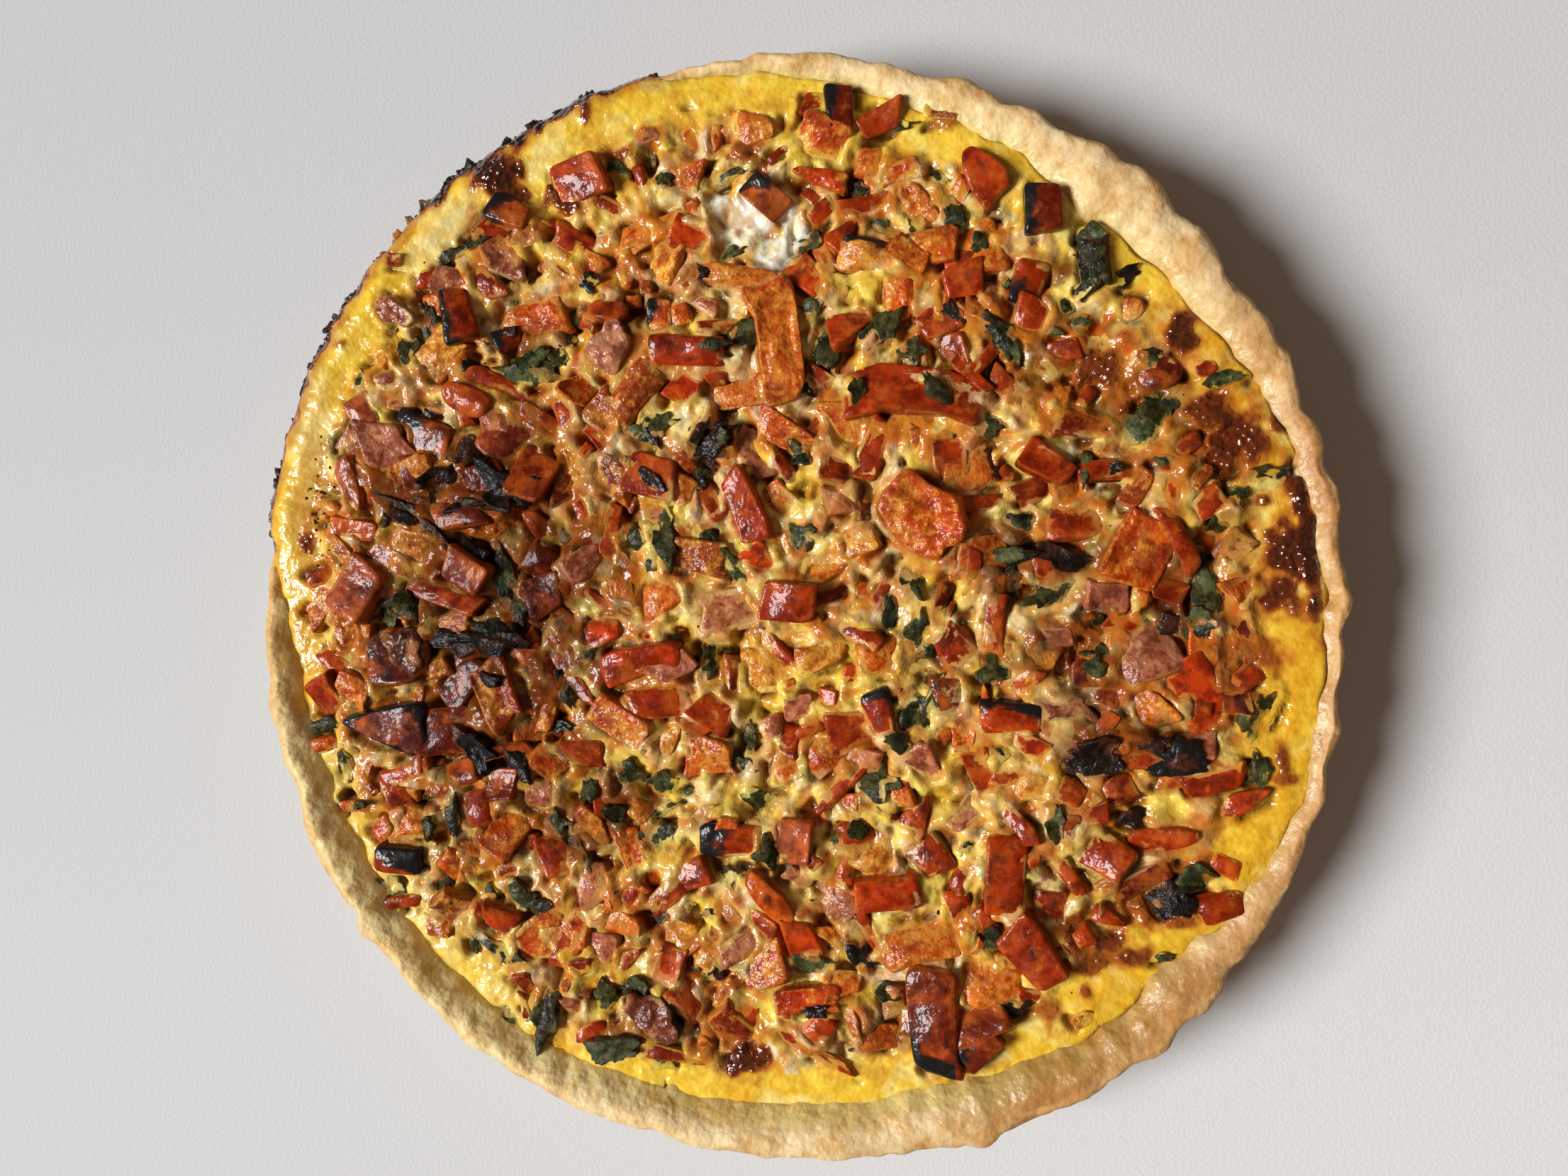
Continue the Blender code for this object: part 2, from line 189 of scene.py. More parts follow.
STATIONS = 150
case_points, _ = node_mesh("crust")
from_axis = np.hypot(*case_points[:, :2].T)
CENTRE = case_points[from_axis < 20].mean(axis=0)[:2]
case_points = case_points[from_axis >= 20]
case_angles = np.degrees(np.arctan2(*(case_points[:, :2] - CENTRE).T[::-1])) % 360
case_radii = np.hypot(*(case_points[:, :2] - CENTRE).T)
station_of = np.rint(case_angles / (360 / STATIONS)).astype(int) % STATIONS
ring_rows = []
for station in range(STATIONS):
    rows = np.stack((case_radii, case_points[:, 2]), 1)[station_of == station]
    foot = rows[(rows[:, 1] > 3) & (rows[:, 1] < 6)][0]
    low = rows[rows[:, 1] < 3]
    low = low[low[:, 1].argsort()]
    high = rows[rows[:, 1] > 6]
    high = high[np.lexsort((high[:, 1], -high[:, 0].round(1)))]
    ring_rows.append(np.concatenate((low, high, foot[None])))
RINGS = np.array(ring_rows)           # station, place in the section, (radius, height)
BASE, CORNER, RIM, SHOULDER, CREST, BROW, WALL, FOOT = range(8)


# How much of the flutes' depth is left round the ring: they have slumped most at the left
FLUTES = ((0, 0.65), (50, 0.6), (100, 0.4), (180, 0.3), (285, 0.3), (330, 0.55))


MEAN_RADIUS = 130.0           # of the ring where ripples and streaks are measured out


def waver(degrees, size, seed):
    """Smooth noise round the ring, whose bumps are about size long."""
    angle = np.radians(np.atleast_1d(degrees))
    return rough(np.stack((np.cos(angle), np.sin(angle)), 1) * 132, size, seed, 2)


def ring(place, what, degrees):
    """Radius (0) or height (1) of one place of the case's section at each angle."""
    values = RINGS[:, place, what]
    if what == 1 or place in (BASE, CORNER, FOOT):
        return around(values, degrees)
    shifted = np.asarray(degrees) + 1.8 * waver(degrees, 34, 81)
    mean = sum(around(values, np.asarray(degrees) + turn) for turn in range(-6, 7, 2)) / 7
    share = between(FLUTES, degrees) * (1 + 0.8 * waver(degrees, 24, 82))
    return mean + (around(values, shifted) - mean) * share + 0.7 * waver(degrees, 9, 83)


def spilled(degrees):
    """1 where the filling has run over the rim, and 0 elsewhere."""
    return between(((0, 0), (97, 0), (105, 1), (171, 1), (177, 0)), degrees)


def custard_edge(degrees):
    """Radius at which the custard's top ends, a little inside the case or on its crest."""
    inside, over = ring(WALL, 0, degrees) + 0.7, ring(RIM, 0, degrees) + 1.2
    return inside + (over - inside) * smooth(spilled(degrees), 0, 1)


# The custard as fields -------------------------------------------------------------------

STEP = 0.5                    # between the fields' points
REACH = 142.0                 # the fields end this far from the middle, both ways
AXIS = np.arange(-REACH, REACH + STEP / 2, STEP)
SIDE = len(AXIS)
GX, GY = np.meshgrid(AXIS, AXIS, indexing="ij")
FLAT = np.stack((GX.ravel(), GY.ravel()), 1)


def grid_noise(size, seed, octaves=1):
    """The noise as a field."""
    return rough(FLAT, size, seed, octaves).reshape(SIDE, SIDE)


THETA = np.degrees(np.arctan2(GY, GX)) % 360
RADIUS = np.hypot(GX, GY)
EDGE_STOPS = np.arange(0, 360, 0.6)
EDGE = around(custard_edge(EDGE_STOPS), THETA)
INWARD = EDGE - RADIUS
OVER = spilled(THETA)
CREST_LEVEL = around(RINGS[:, CREST, 1], THETA)
LEVEL = between(((0, 27), (45, 27.5), (90, 26.6), (106, 27.2), (172, 27.4), (190, 26),
                 (225, 25.4), (270, 25.4), (300, 26), (330, 26.8)), THETA)
RAGGED = grid_noise(3.2, 1, 3)
FINE = grid_noise(1.6, 2, 2)
EDGES = grid_noise(5.0, 3, 2)
taken = np.zeros((SIDE, SIDE))
tops = np.zeros((SIDE, SIDE))         # upper sides of the pieces laid so far
MARGIN = ((0, 12), (20, 9), (40, 8), (60, 7), (80, 9), (100, 10), (115, 11), (140, 11), (160, 8),
          (175, 7), (190, 4), (205, 3), (225, 6), (250, 5), (270, 8), (285, 9), (305, 12), (320, 15),
          (345, 13))
beyond = INWARD - between(MARGIN, THETA)
inner = smooth(beyond, -2, 7)         # 1 in the middle, 0 on the smooth margin

height = LEVEL + 0.9 * grid_noise(30, 4) * smooth(INWARD, 2, 25)
height += inner * (0.70 * grid_noise(12, 5, 2) + 0.12 * grid_noise(4.5, 6, 2) + 0.04 * FINE)
height += (1 - inner) * (0.30 * grid_noise(9, 7) + 0.14 * grid_noise(4, 17) + 0.04 * FINE)
streaks = rough(np.stack((np.radians(THETA.ravel()) * MEAN_RADIUS / 1.9, INWARD.ravel() / 7), 1), 1.0, 9, 2)
height += (1 - inner) * 0.20 * streaks.reshape(SIDE, SIDE) * between(
    ((0, 0.2), (90, 0.3), (140, 1), (250, 1), (300, 0.3)), THETA)
height += (0.25 + 1.1 * OVER) * np.exp(-((INWARD - 6.5) / 3.6) ** 2)
lip = np.sqrt(np.clip(1 - (1 - np.clip(INWARD / 4.5, 0, 1)) ** 2, 0, 1))
spill_low = CREST_LEVEL - 0.9
height = np.where(OVER > 0, OVER * (spill_low + (height - spill_low) * lip)
                  + (1 - OVER) * height, height)
height -= (1 - OVER) * 0.4 * smooth(INWARD, 2.2, 0)

tint = np.empty((SIDE, SIDE, 3))
tint[:] = CREAM
tint = mixed(tint, YELLOW, 0.8 * smooth(grid_noise(9, 8, 3), -0.1, 0.3))
tint = mixed(tint, ROSY, 0.4 * inner * smooth(grid_noise(9, 12, 3), 0.15, 0.45))
tint = mixed(tint, TOAST, 0.6 * inner * smooth(grid_noise(11, 9, 3), 0.05, 0.35))
tint = mixed(tint, YELLOW, 1 - inner)
tint = mixed(tint, GOLD, (1 - inner) * smooth(grid_noise(9, 10, 3), 0.0, 0.5) * 0.8)
tint = mixed(tint, (0.86, 0.74, 0.26), (1 - inner) * smooth(grid_noise(6, 14, 3), 0.0, 0.45) * 0.7)
tint = mixed(tint, (0.60, 0.29, 0.02), (1 - inner) * smooth(grid_noise(4, 15, 3), 0.3, 0.7) * 0.5)
right = smooth(GX, 60, 100) * smooth(GY, -45, -5) * smooth(GY, 70, 40)
tint = mixed(tint, TOAST, 0.55 * right * inner)
char = np.zeros((SIDE, SIDE))
wet = np.zeros((SIDE, SIDE))


def window_round(x, y, reach, turn):
    """The fields' window within reach of a place, and the turned distances from it there."""
    i0, i1 = (int(np.clip((x + side * reach + REACH) / STEP, 0, SIDE)) for side in (-1, 1))
    j0, j1 = (int(np.clip((y + side * reach + REACH) / STEP, 0, SIDE)) for side in (-1, 1))
    window = np.s_[i0:i1, j0:j1]
    u, v = GX[window] - x, GY[window] - y
    c, s = math.cos(math.radians(turn)), math.sin(math.radians(turn))
    return window, u * c + v * s, v * c - u * s


def cover(x, y, rx, ry, turn=0.0, soft=0.3, ragged=0.3):
    """The window of the fields round an ellipse, its soft ragged cover, and the distance."""
    window, along, across = window_round(x, y, max(rx, ry) * (1 + soft + 0.6 * ragged) + 1, turn)
    away = np.hypot(along / rx, across / ry) + ragged * RAGGED[window]
    return window, smooth(away, 1 + soft, 1 - soft), away


def paint(x, y, rx, ry, turn, colour, strength, soft, ragged):
    """A soft ragged patch of colour."""
    window, share, _ = cover(x, y, rx, ry, turn, soft, ragged)
    tint[window] = mixed(tint[window], colour, share * strength)


def burn(x, y, rx, ry, turn, amount):
    """A browned blister: a toasted ring, then bubbly brown to black. Dark ones stay bare."""
    window, share, _ = cover(x, y, rx * 1.35, ry * 1.35, turn, 0.3, 0.5)
    tint[window] = mixed(tint[window], TOAST, 0.85 * share)
    window, share, _ = cover(x, y, rx, ry, turn, 0.3, 0.5)
    char[window] = np.maximum(char[window], share * amount)
    height[window] += 0.5 * share
    if amount > BARE_BURN:
        taken[window] = np.maximum(taken[window], share)


def mound(x, y, rx, ry, turn, lift, colour=None, strength=0.8):
    """A soft lump under the skin of the custard, perhaps with a colour of its own."""
    window, share, away = cover(x, y, rx, ry, turn, 0.25, 0.35)
    height[window] += lift * np.sqrt(np.clip(1 - away ** 2, 0, 1))
    if colour is not None:
        tint[window] = mixed(tint[window], colour, share * strength)


def chip(x, y, rx, ry, turn, lift, colour, strength):
    """A flat bit just under the skin, with a crisp edge."""
    window, share, away = cover(x, y, rx, ry, turn, 0.12, 0.5)
    height[window] += lift * smooth(away, 1.15, 0.75)
    tint[window] = mixed(tint[window], colour, share * strength)


def tinge(x, y, rx, ry, turn, colour, soft, ragged, strength=0.8, lift=0.0, healed=0.0):
    """Colour and lift the custard where no piece lies, and take some of its browning away."""
    window, share, _ = cover(x, y, rx, ry, turn, soft, ragged)
    free = share * (1 - taken[window])
    tint[window] = mixed(tint[window], colour, strength * free)
    height[window] += lift * free
    char[window] *= 1 - healed * free


def blurred(field, radius):
    """A field's mean over a square about each point, taken twice."""
    half = int(radius / STEP)
    width = 2 * half + 1
    for _ in range(2):
        for _ in range(2):
            total = np.cumsum(np.pad(field, ((half + 1, half), (0, 0)), mode="edge"), axis=0)
            field = ((total[width:] - total[:-width]) / width).T
    return field


def spots(rows):
    """A field with soft round spots: x, y, half length, half width, how strong."""
    field = np.zeros((SIDE, SIDE))
    for x, y, rx, ry, strength in rows:
        field = np.maximum(field, strength * np.exp(-((GX - x) / rx) ** 2 - ((GY - y) / ry) ** 2))
    return field


def pit(x, y, radius, depth):
    """A small hole where a bubble of steam broke, its inside darkened with painted shade."""
    window, share, away = cover(x, y, radius, radius * 0.8, 0, 0.4, 0.2)
    height[window] -= depth * share
    # Painted shade: the hole's inside is darkened to stand for the shade in it.
    tint[window] = mixed(tint[window], (0.10, 0.035, 0.008), 0.85 * smooth(away, 1.1, 0.5))


def settle(x, y, rx, ry, turn, top, clean):
    """Let the custard climb a piece's side, here over its edge and there short of it, with a trench along
    part of it darkened by painted shade.
    """
    window, along, across = window_round(x, y, max(rx, ry) * 1.3 + 5, turn)
    out = (np.abs(along / rx) ** 4 + np.abs(across / ry) ** 4) ** 0.25
    gap = (out - 1) * min(rx, ry)
    uneven = EDGES[window]
    here = height[window]
    rise = np.clip(top - 0.75 * clean + 1.5 * uneven - here, 0, 2.1)
    share = smooth(gap, 2.8, 0.0) * smooth(gap, -2.2, -0.5) * (0.35 + 0.65 * inner[window])
    height[window] = here + rise * share
    # A trench along part of the side: lowered, and darkened with painted shade.
    trench = smooth(uneven, -0.05, -0.55) * np.exp(-((gap - 0.5) / 0.8) ** 2)
    height[window] -= 2.0 * trench
    tint[window] = mixed(tint[window], GAP_SHADE, 0.9 * trench)
    taken[window] = np.maximum(taken[window], smooth(out, 1.0, 0.75))
    tops[window] = np.maximum(tops[window], top * (out < 0.9))


def sample(field, x, y):
    """Value of a field at places between its points."""
    u = np.clip((np.asarray(x) + REACH) / STEP, 0, SIDE - 1.001)
    v = np.clip((np.asarray(y) + REACH) / STEP, 0, SIDE - 1.001)
    i, j = np.floor(u).astype(int), np.floor(v).astype(int)
    u, v = u - i, v - j
    if field.ndim == 3:
        u, v = u[..., None], v[..., None]
    near = field[i, j] * (1 - u) + field[i + 1, j] * u
    far = field[i, j + 1] * (1 - u) + field[i + 1, j + 1] * u
    return near * (1 - v) + far * v


# Where the custard has stayed bright, and where the oven has darkened everything
sunny = spots((
    (3, -23, 14, 10, 1), (36, -44, 14, 9, 1), (55, -42, 10, 7, 0.8), (-10, -46, 8, 8, 0.8),
    (18, -66, 9, 10, 0.9), (68, -38, 7, 6, 0.7), (82, -57, 9, 6, 0.8), (-72, -94, 10, 8, 0.9),
    (-48, -90, 9, 8, 0.8), (-90, 68, 12, 9, 0.9), (-104, 50, 8, 8, 0.6), (24, 80, 9, 8, 0.9),
    (28, 66, 7, 7, 0.6), (12, 114, 18, 6, 1), (-38, 54, 7, 8, 0.9), (-22, 52, 5, 6, 0.7),
    (62, 36, 9, 6, 0.6), (-62, 92, 8, 6, 0.5), (-45, 104, 12, 6, 0.8), (-57, 106, 9, 7, 1),
    (-48, 108, 10, 7, 1), (-20, 70, 8, 6, 0.6), (10, 30, 8, 8, 0.7), (-8, 14, 8, 6, 0.5),
    (-22, -4, 8, 5, 0.6), (-4, -8, 10, 6, 0.6), (20, -12, 10, 7, 0.8), (44, -66, 9, 8, 0.9),
    (62, -84, 12, 8, 0.9), (60, -66, 7, 6, 0.6), (-14, -78, 7, 6, 0.7), (2, -98, 14, 6, 0.8),
    (-30, -98, 7, 6, 0.7), (-56, -76, 6, 6, 0.6), (96, -44, 10, 5, 0.8), (48, -20, 8, 6, 0.6),
    (70, -20, 8, 5, 0.6), (36, 92, 8, 6, 0.6), (56, 104, 12, 6, 0.7), (80, 76, 8, 6, 0.5),
    (100, 22, 6, 8, 0.5), (-32, 42, 5, 12, 0.9), (6, 56, 6, 5, 0.5), (44, 58, 6, 5, 0.5),
    (-42, -27, 4, 9, 0.8), (-81, -70, 9, 7, 0.7), (77, -66, 7, 6, 0.6)))
gloom = spots((
    (-70, 4, 28, 47, 1.0), (84, -6, 24, 38, 0.3), (-92, 31, 12, 9, 1), (-74, 27, 12, 10, 1),
    (-61, 46, 8, 8, 0.7), (-53, 18, 9, 8, 0.8), (-80, -4, 12, 8, 0.9), (-62, -8, 9, 12, 1),
    (-90, -33, 12, 8, 0.9), (-72, -36, 9, 8, 0.9), (-60, -24, 10, 9, 0.9), (-48, -56, 10, 8, 0.9),
    (-38, -46, 8, 7, 0.7), (-68, -104, 6, 8, 0.7), (-92, -80, 7, 7, 0.6), (-38, -108, 8, 6, 0.6),
    (58, 12, 9, 9, 0.9), (74, 14, 12, 5, 0.8), (80, -30, 10, 7, 1), (92, -28, 8, 6, 0.9),
    (97, 2, 6, 12, 0.8), (97, -69, 9, 7, 0.9), (28, -106, 9, 8, 0.6), (70, 85, 6, 7, 0.7),
    (-22, 39, 5, 5, 0.4), (-34, 74, 8, 6, 0.5), (105, 43, 9, 9, 0.8), (86, 48, 10, 10, 0.5),
    (-76, 14, 22, 18, 0.7), (70, -8, 12, 9, 0.6), (-86, 60, 7, 6, 0.5), (56, 72, 6, 6, 0.4),
    (64, 58, 10, 8, 0.4), (-108, 10, 6, 8, 0.4), (30, 6, 5, 5, 0.4), (-60, 66, 12, 10, 0.4),
    (-70, -60, 12, 8, 0.5)))
sunny = sunny * (1 - 0.8 * gloom)


def seeded_place(reach):
    """A seeded place within reach of the middle, as likely in one spot as in another."""
    radius, theta = reach * math.sqrt(RNG.random()), math.tau * RNG.random()
    return radius * math.cos(theta), radius * math.sin(theta)


# Bits of everything that lie just under the skin
MOSAIC = ((CREAM, 5), (YELLOW, 3), (ONION, 2.5), (PALE, 3.0), (TOAST, 3.0), (RUST, 3.0), (FLAME, 3.6),
          (ROSY, 2.0), (ORANGE, 3.0), (OLIVE, 1.4), (SAGE, 1.0), (BROWN, 1.4), (MEAT, 1.8), (RED, 2.4))
mosaic_share = np.array([share for _, share in MOSAIC])
for _ in range(MOSAIC_CHIPS):
    x, y = seeded_place(124)
    rx, ratio = 1.4 + 3.8 * RNG.random() ** 1.5, RNG.uniform(0.35, 0.9)
    turn, lift = 180 * RNG.random(), RNG.uniform(0.05, 0.3)
    colour = MOSAIC[RNG.choice(len(MOSAIC), p=mosaic_share / mosaic_share.sum())][0]
    if sample(inner, x, y) > 0.6:
        chip(x, y, rx, rx * ratio, turn, lift, colour, RNG.uniform(0.4, 0.95))
for _ in range(SMALL_MOUNDS):
    x, y = seeded_place(122)
    if sample(inner, x, y) > 0.5:
        mound(x, y, RNG.uniform(2.5, 5.0), RNG.uniform(2.0, 3.6), 180 * RNG.random(),
              RNG.uniform(0.6, 1.3), (ONION, PALE, CREAM)[RNG.integers(3)], 0.8)
for _ in range(SMALL_PITS):
    x, y = seeded_place(122)
    if sample(inner, x, y) > 0.5:
        pit(x, y, RNG.uniform(0.6, 1.6), 1.8)

# Washes of colour: x, y, half length, half width, turn, colour, strength
MARGIN_WASHES = (
    (-118, -46, 18, 6, -70, (0.86, 0.68, 0.20), 0.8), (-96, -80, 24, 6, -48, (0.86, 0.70, 0.24), 0.8),
    (-60, -106, 20, 5, -25, (0.84, 0.66, 0.18), 0.7), (-84, 96, 14, 6, 50, (0.86, 0.74, 0.34), 0.8),
    (-60, 112, 10, 4, 25, (0.84, 0.72, 0.30), 0.6), (-122, 46, 12, 6, 78, (0.84, 0.64, 0.22), 0.7),
    (-125, 26, 10, 5, 84, (0.76, 0.50, 0.10), 0.8), (-124, 6, 10, 5, 90, (0.70, 0.40, 0.05), 0.8),
    (-123, -14, 12, 6, 90, (0.66, 0.37, 0.04), 0.8), (124, 30, 30, 3.5, 75, (0.72, 0.34, 0.02), 0.8),
    (126, -6, 16, 4, 88, (0.76, 0.40, 0.025), 0.7), (104, 62, 20, 4, -60, (0.74, 0.36, 0.02), 0.7),
    (120, -28, 32, 8, 80, (0.70, 0.38, 0.022), 0.6), (20, 118, 26, 4, -8, (0.88, 0.66, 0.10), 0.6),
    (0, 112, 12, 5, 0, (0.88, 0.70, 0.16), 0.6),
)
WASHES = (
    (-54, 100, 22, 8, 25, GOLD, 0.7), (-40, 116, 24, 5, 20, YELLOW, 0.7),
    (5, 126, 34, 4.5, -3, YELLOW, 0.9), (48, 112, 14, 6, -30, YELLOW, 0.8),
    (26, 112, 20, 7, -12, YELLOW, 0.8), (90, 84, 22, 5, -52, YELLOW, 0.9),
    (80, 60, 12, 13, 20, TOAST, 0.75), (108, 42, 9, 12, 20, TOAST, 0.8), (78, -5, 9, 8, 0, TOAST, 0.7),
    (111, -10, 10, 8, 0, RUST, 0.6), (128, -12, 20, 4, 85, HONEY, 0.9), (118, -50, 18, 6, 62, HONEY, 0.9),
    (100, -84, 22, 6, 50, HONEY, 0.8), (84, -94, 16, 6, 40, HONEY, 0.7), (60, -116, 26, 4, 25, YELLOW, 0.9),
    (0, -119, 30, 4, 0, YELLOW, 0.9), (-30, -112, 16, 5, -10, YELLOW, 0.7),
    (-94, -84, 22, 5, -45, YELLOW, 0.8), (-108, -62, 14, 5, -65, YELLOW, 0.9),
    (-118, -8, 20, 6, 88, YELLOW, 0.8), (-105, 70, 22, 7, 60, YELLOW, 0.8),
    (-84, 98, 18, 6, 45, YELLOW, 0.8), (-122, 20, 26, 6, 86, GOLD, 0.5), (-63, 108, 20, 6, 28, YELLOW, 0.6),
    (-72, 26, 18, 14, 0, RUST, 0.45), (62, 20, 14, 12, 0, RUST, 0.35), (20, -48, 30, 12, 10, CREAM, 0.35),
    (-4, -14, 14, 9, 0, YELLOW, 0.6), (20, -18, 14, 7, 20, YELLOW, 0.6), (-92, 48, 9, 5, 20, PALE, 0.5),
    (75, -24, 12, 5, 10, PALE, 0.45), (-45, -97, 14, 9, 0, YELLOW, 0.5),
    (-20, 50, 8, 10, 20, (0.72, 0.60, 0.22), 0.8), (24, -84, 4, 9, 0, (0.50, 0.48, 0.13), 0.7),
    (97, -41, 12, 5, 10, YELLOW, 0.6), (-86, -92, 10, 6, -40, YELLOW, 0.6),
    (62, -84, 10, 5, 60, YELLOW, 0.5), (44, -76, 8, 5, 0, YELLOW, 0.4),
)
LATE_WASHES = ((90, -66, 18, 9, 20, (0.42, 0.13, 0.012), 0.8),
               (80, -80, 13, 5, 12, (0.50, 0.18, 0.016), 0.5),
               (100, -50, 12, 6, 10, (0.55, 0.22, 0.02), 0.6),
               (106, 44, 9, 14, 20, (0.46, 0.16, 0.016), 0.6))
for x, y, rx, ry, turn, colour, strength in WASHES + MARGIN_WASHES + LATE_WASHES:
    paint(x, y, rx, ry, turn, colour, strength, 0.5, 0.6)

# The wet white of an egg that hadn't set, and paler bubbles: x, y, half length, width, turn
WHITES = ((-5, 96, 6.5, 6.5, 0), (1, 88, 4.5, 5, 0), (-12, 101, 3, 2.5, 30), (6, 96, 3, 6, 10),
          (-8, 63, 3.4, 3.6, 0), (96, -24, 2.8, 2.6, 0), (48, -2, 3.2, 2.4, 0),
          (90, -10, 1.6, 1.6, 0), (-36, 40, 3, 3, 0), (-13, 94, 2.6, 2.4, 0))
for number, (x, y, rx, ry, turn) in enumerate(WHITES):
    mound(x, y, rx, ry, turn, 0.7, WHITE if number < 4 else PALE, 0.95)
    window, share, _ = cover(x, y, rx * 1.2, ry * 1.2, turn)
    wet[window] = np.maximum(wet[window], share)
    taken[window] = np.maximum(taken[window], share * (number < 4))

# Browned and blistered places: x, y, half length, half width, turn, how dark
BURNS = (
    (-70, 112, 6.5, 6, 0, 1.0), (-66, 106, 4, 3, 0, 0.8), (-54, 105, 3.8, 3.4, 0, 0.75),
    (-47, 108, 4, 3.2, 10, 0.6), (-41, 103, 3, 2.2, 0, 0.5), (-50, 101, 3, 2.2, 0, 0.8),
    (-38, 113, 3, 2.4, 0, 0.65), (-29, 119, 3, 2.5, 0, 0.4), (-46, 125, 1.2, 4, 0, 0.8),
    (-5, 113, 4, 2.5, 0, 0.5), (98, 67, 3.4, 4.8, 20, 0.95), (123, 15, 5.0, 7, 8, 0.95),
    (121, 6, 4.6, 5.2, 0, 0.9), (127.5, 17, 2.4, 15, 7, 1.0), (123.5, 32, 2.4, 4, 15, 0.8),
    (111, 42, 6, 6, 0, 0.85), (107, 36, 4, 3.4, 0, 0.8), (104, 48, 5, 5, 0, 0.8),
    (117, 27, 1.8, 1.6, 0, 0.6), (120, 45, 2.4, 2.6, 0, 0.7), (122.5, -34, 1.4, 3.6, 0, 0.6),
    (123.5, -38, 3, 1.2, 0, 0.5), (-7, -115, 5.4, 4.4, 0, 0.95), (-3, -113, 3.5, 3, 0, 0.8),
    (84, -79, 4.2, 2.8, 20, 0.72), (76, -78, 3, 5.5, 0, 0.65), (78, -91, 1.8, 2, 0, 0.5),
    (89, -82, 3.6, 2.4, 0, 0.7), (-124, 17, 2.0, 4.6, 5, 0.72), (-121, -3, 1.4, 1.6, 0, 0.4),
    (-118, -15, 2.4, 2.6, 0, 0.35), (-90, 60, 1, 1, 0, 0.6), (-113, 69, 1.4, 1, 0, 0.35),
    (-73, 23, 8, 4, 10, 0.55), (-62, 95, 4, 3, 0, 0.5), (80, 58, 5.5, 6, 0, 0.75),
    (88, 49, 4.5, 4, 0, 0.72), (77, -4, 5, 4, 0, 0.6), (76, 46, 3.6, 2.2, 0, 0.7), (60, 58, 3, 2, 0, 0.4),
    (84, -30, 5, 3, 0, 0.5), (-14, -98, 2.4, 3, 0, 0.35), (44, 118, 3, 2.4, 0, 0.35),
    (60, 8, 4, 4, 0, 0.45), (97, -69, 9, 6, 20, 0.6), (88, -62, 6, 4, 10, 0.5), (104, -60, 4, 3, 0, 0.4),
    (80, -84, 6, 3, 15, 0.6), (70, -96, 3, 2.4, 0, 0.4), (72, 18, 5, 4, 0, 0.45), (-60, 30, 4, 4, 0, 0.4),
    (-52, -34, 4, 3, 0, 0.4), (111, -11, 8, 6, 0, 0.42), (107, -18, 4, 3, 0, 0.5),
)
for x, y, rx, ry, turn, amount in BURNS:
    burn(x, y, rx, ry, turn, amount)
scorch = between(((0, 0), (100, 0), (104, 0.5), (108, 1), (129, 1), (133, 0.3), (140, 0.35), (143, 1),
                  (158, 0.9), (161, 0.5), (170, 1), (173, 0.9), (175, 0)), THETA)
scorch_width = between(((0, 1), (106, 1), (112, 1.7), (130, 1.7), (134, 1)), THETA)
scorch = scorch * smooth((INWARD + 1.3 * RAGGED + 0.8 * EDGES) / scorch_width, 2.2, 0.8)
char = np.maximum(char, 1.2 * scorch)
tint = mixed(tint, RUST, 0.6 * OVER * smooth(INWARD + 2.0 * EDGES, 6, 2))
for x, y, radius in ((8, 92, 1.6), (5, 84, 1.4), (20, 76, 2.0), (104, -42, 1.0), (41, -64, 1.4),
                     (44, -71, 1.3), (-92, 29, 1.4), (-119, 22, 1.8), (-108, 14, 1.6)):
    pit(x, y, radius, 2.4)


# Meshes ----------------------------------------------------------------------------------

def make_object(name, points, triangles, colours, marks, films, material):
    """A mesh object from arrays: points in millimetres, and three colour attributes."""
    mesh = bpy.data.meshes.new(name)
    mesh.vertices.add(len(points))
    mesh.vertices.foreach_set("co", (points * MM).astype(np.float32).ravel())
    mesh.loops.add(len(triangles) * 3)
    mesh.loops.foreach_set("vertex_index", triangles.astype(np.int32).ravel())
    mesh.polygons.add(len(triangles))
    mesh.polygons.foreach_set("loop_start", np.arange(0, len(triangles) * 3, 3, dtype=np.int32))
    mesh.update(calc_edges=True)
    mesh.polygons.foreach_set("use_smooth", np.ones(len(triangles), bool))
    for title, values in (("tint", colours), ("marks", marks), ("film", films)):
        layer = mesh.attributes.new(title, "FLOAT_COLOR", "POINT")
        rgba = np.ones((len(points), 4), np.float32)
        rgba[:, :values.shape[1]] = values
        layer.data.foreach_set("color", rgba.ravel())
    mesh.validate()
    made = bpy.data.objects.new(name, mesh)
    bpy.context.collection.objects.link(made)
    mesh.materials.append(material)
    return made


def strip_faces(lower, upper, count):
    """Triangles between two closed rings of count points that start at lower and upper."""
    i = np.arange(count)
    j = (i + 1) % count
    return np.concatenate((np.stack((lower + i, lower + j, upper + j), 1),
                           np.stack((lower + i, upper + j, upper + i), 1)))


def fan_faces(hub, start, count, up):
    """Triangles between a hub and a closed ring of count points, seen from above or below."""
    i = np.arange(count)
    j = (i + 1) % count
    first, second = (i, j) if up else (j, i)
    return np.stack((np.full(count, hub), start + first, start + second), 1)


# Materials -------------------------------------------------------------------------------

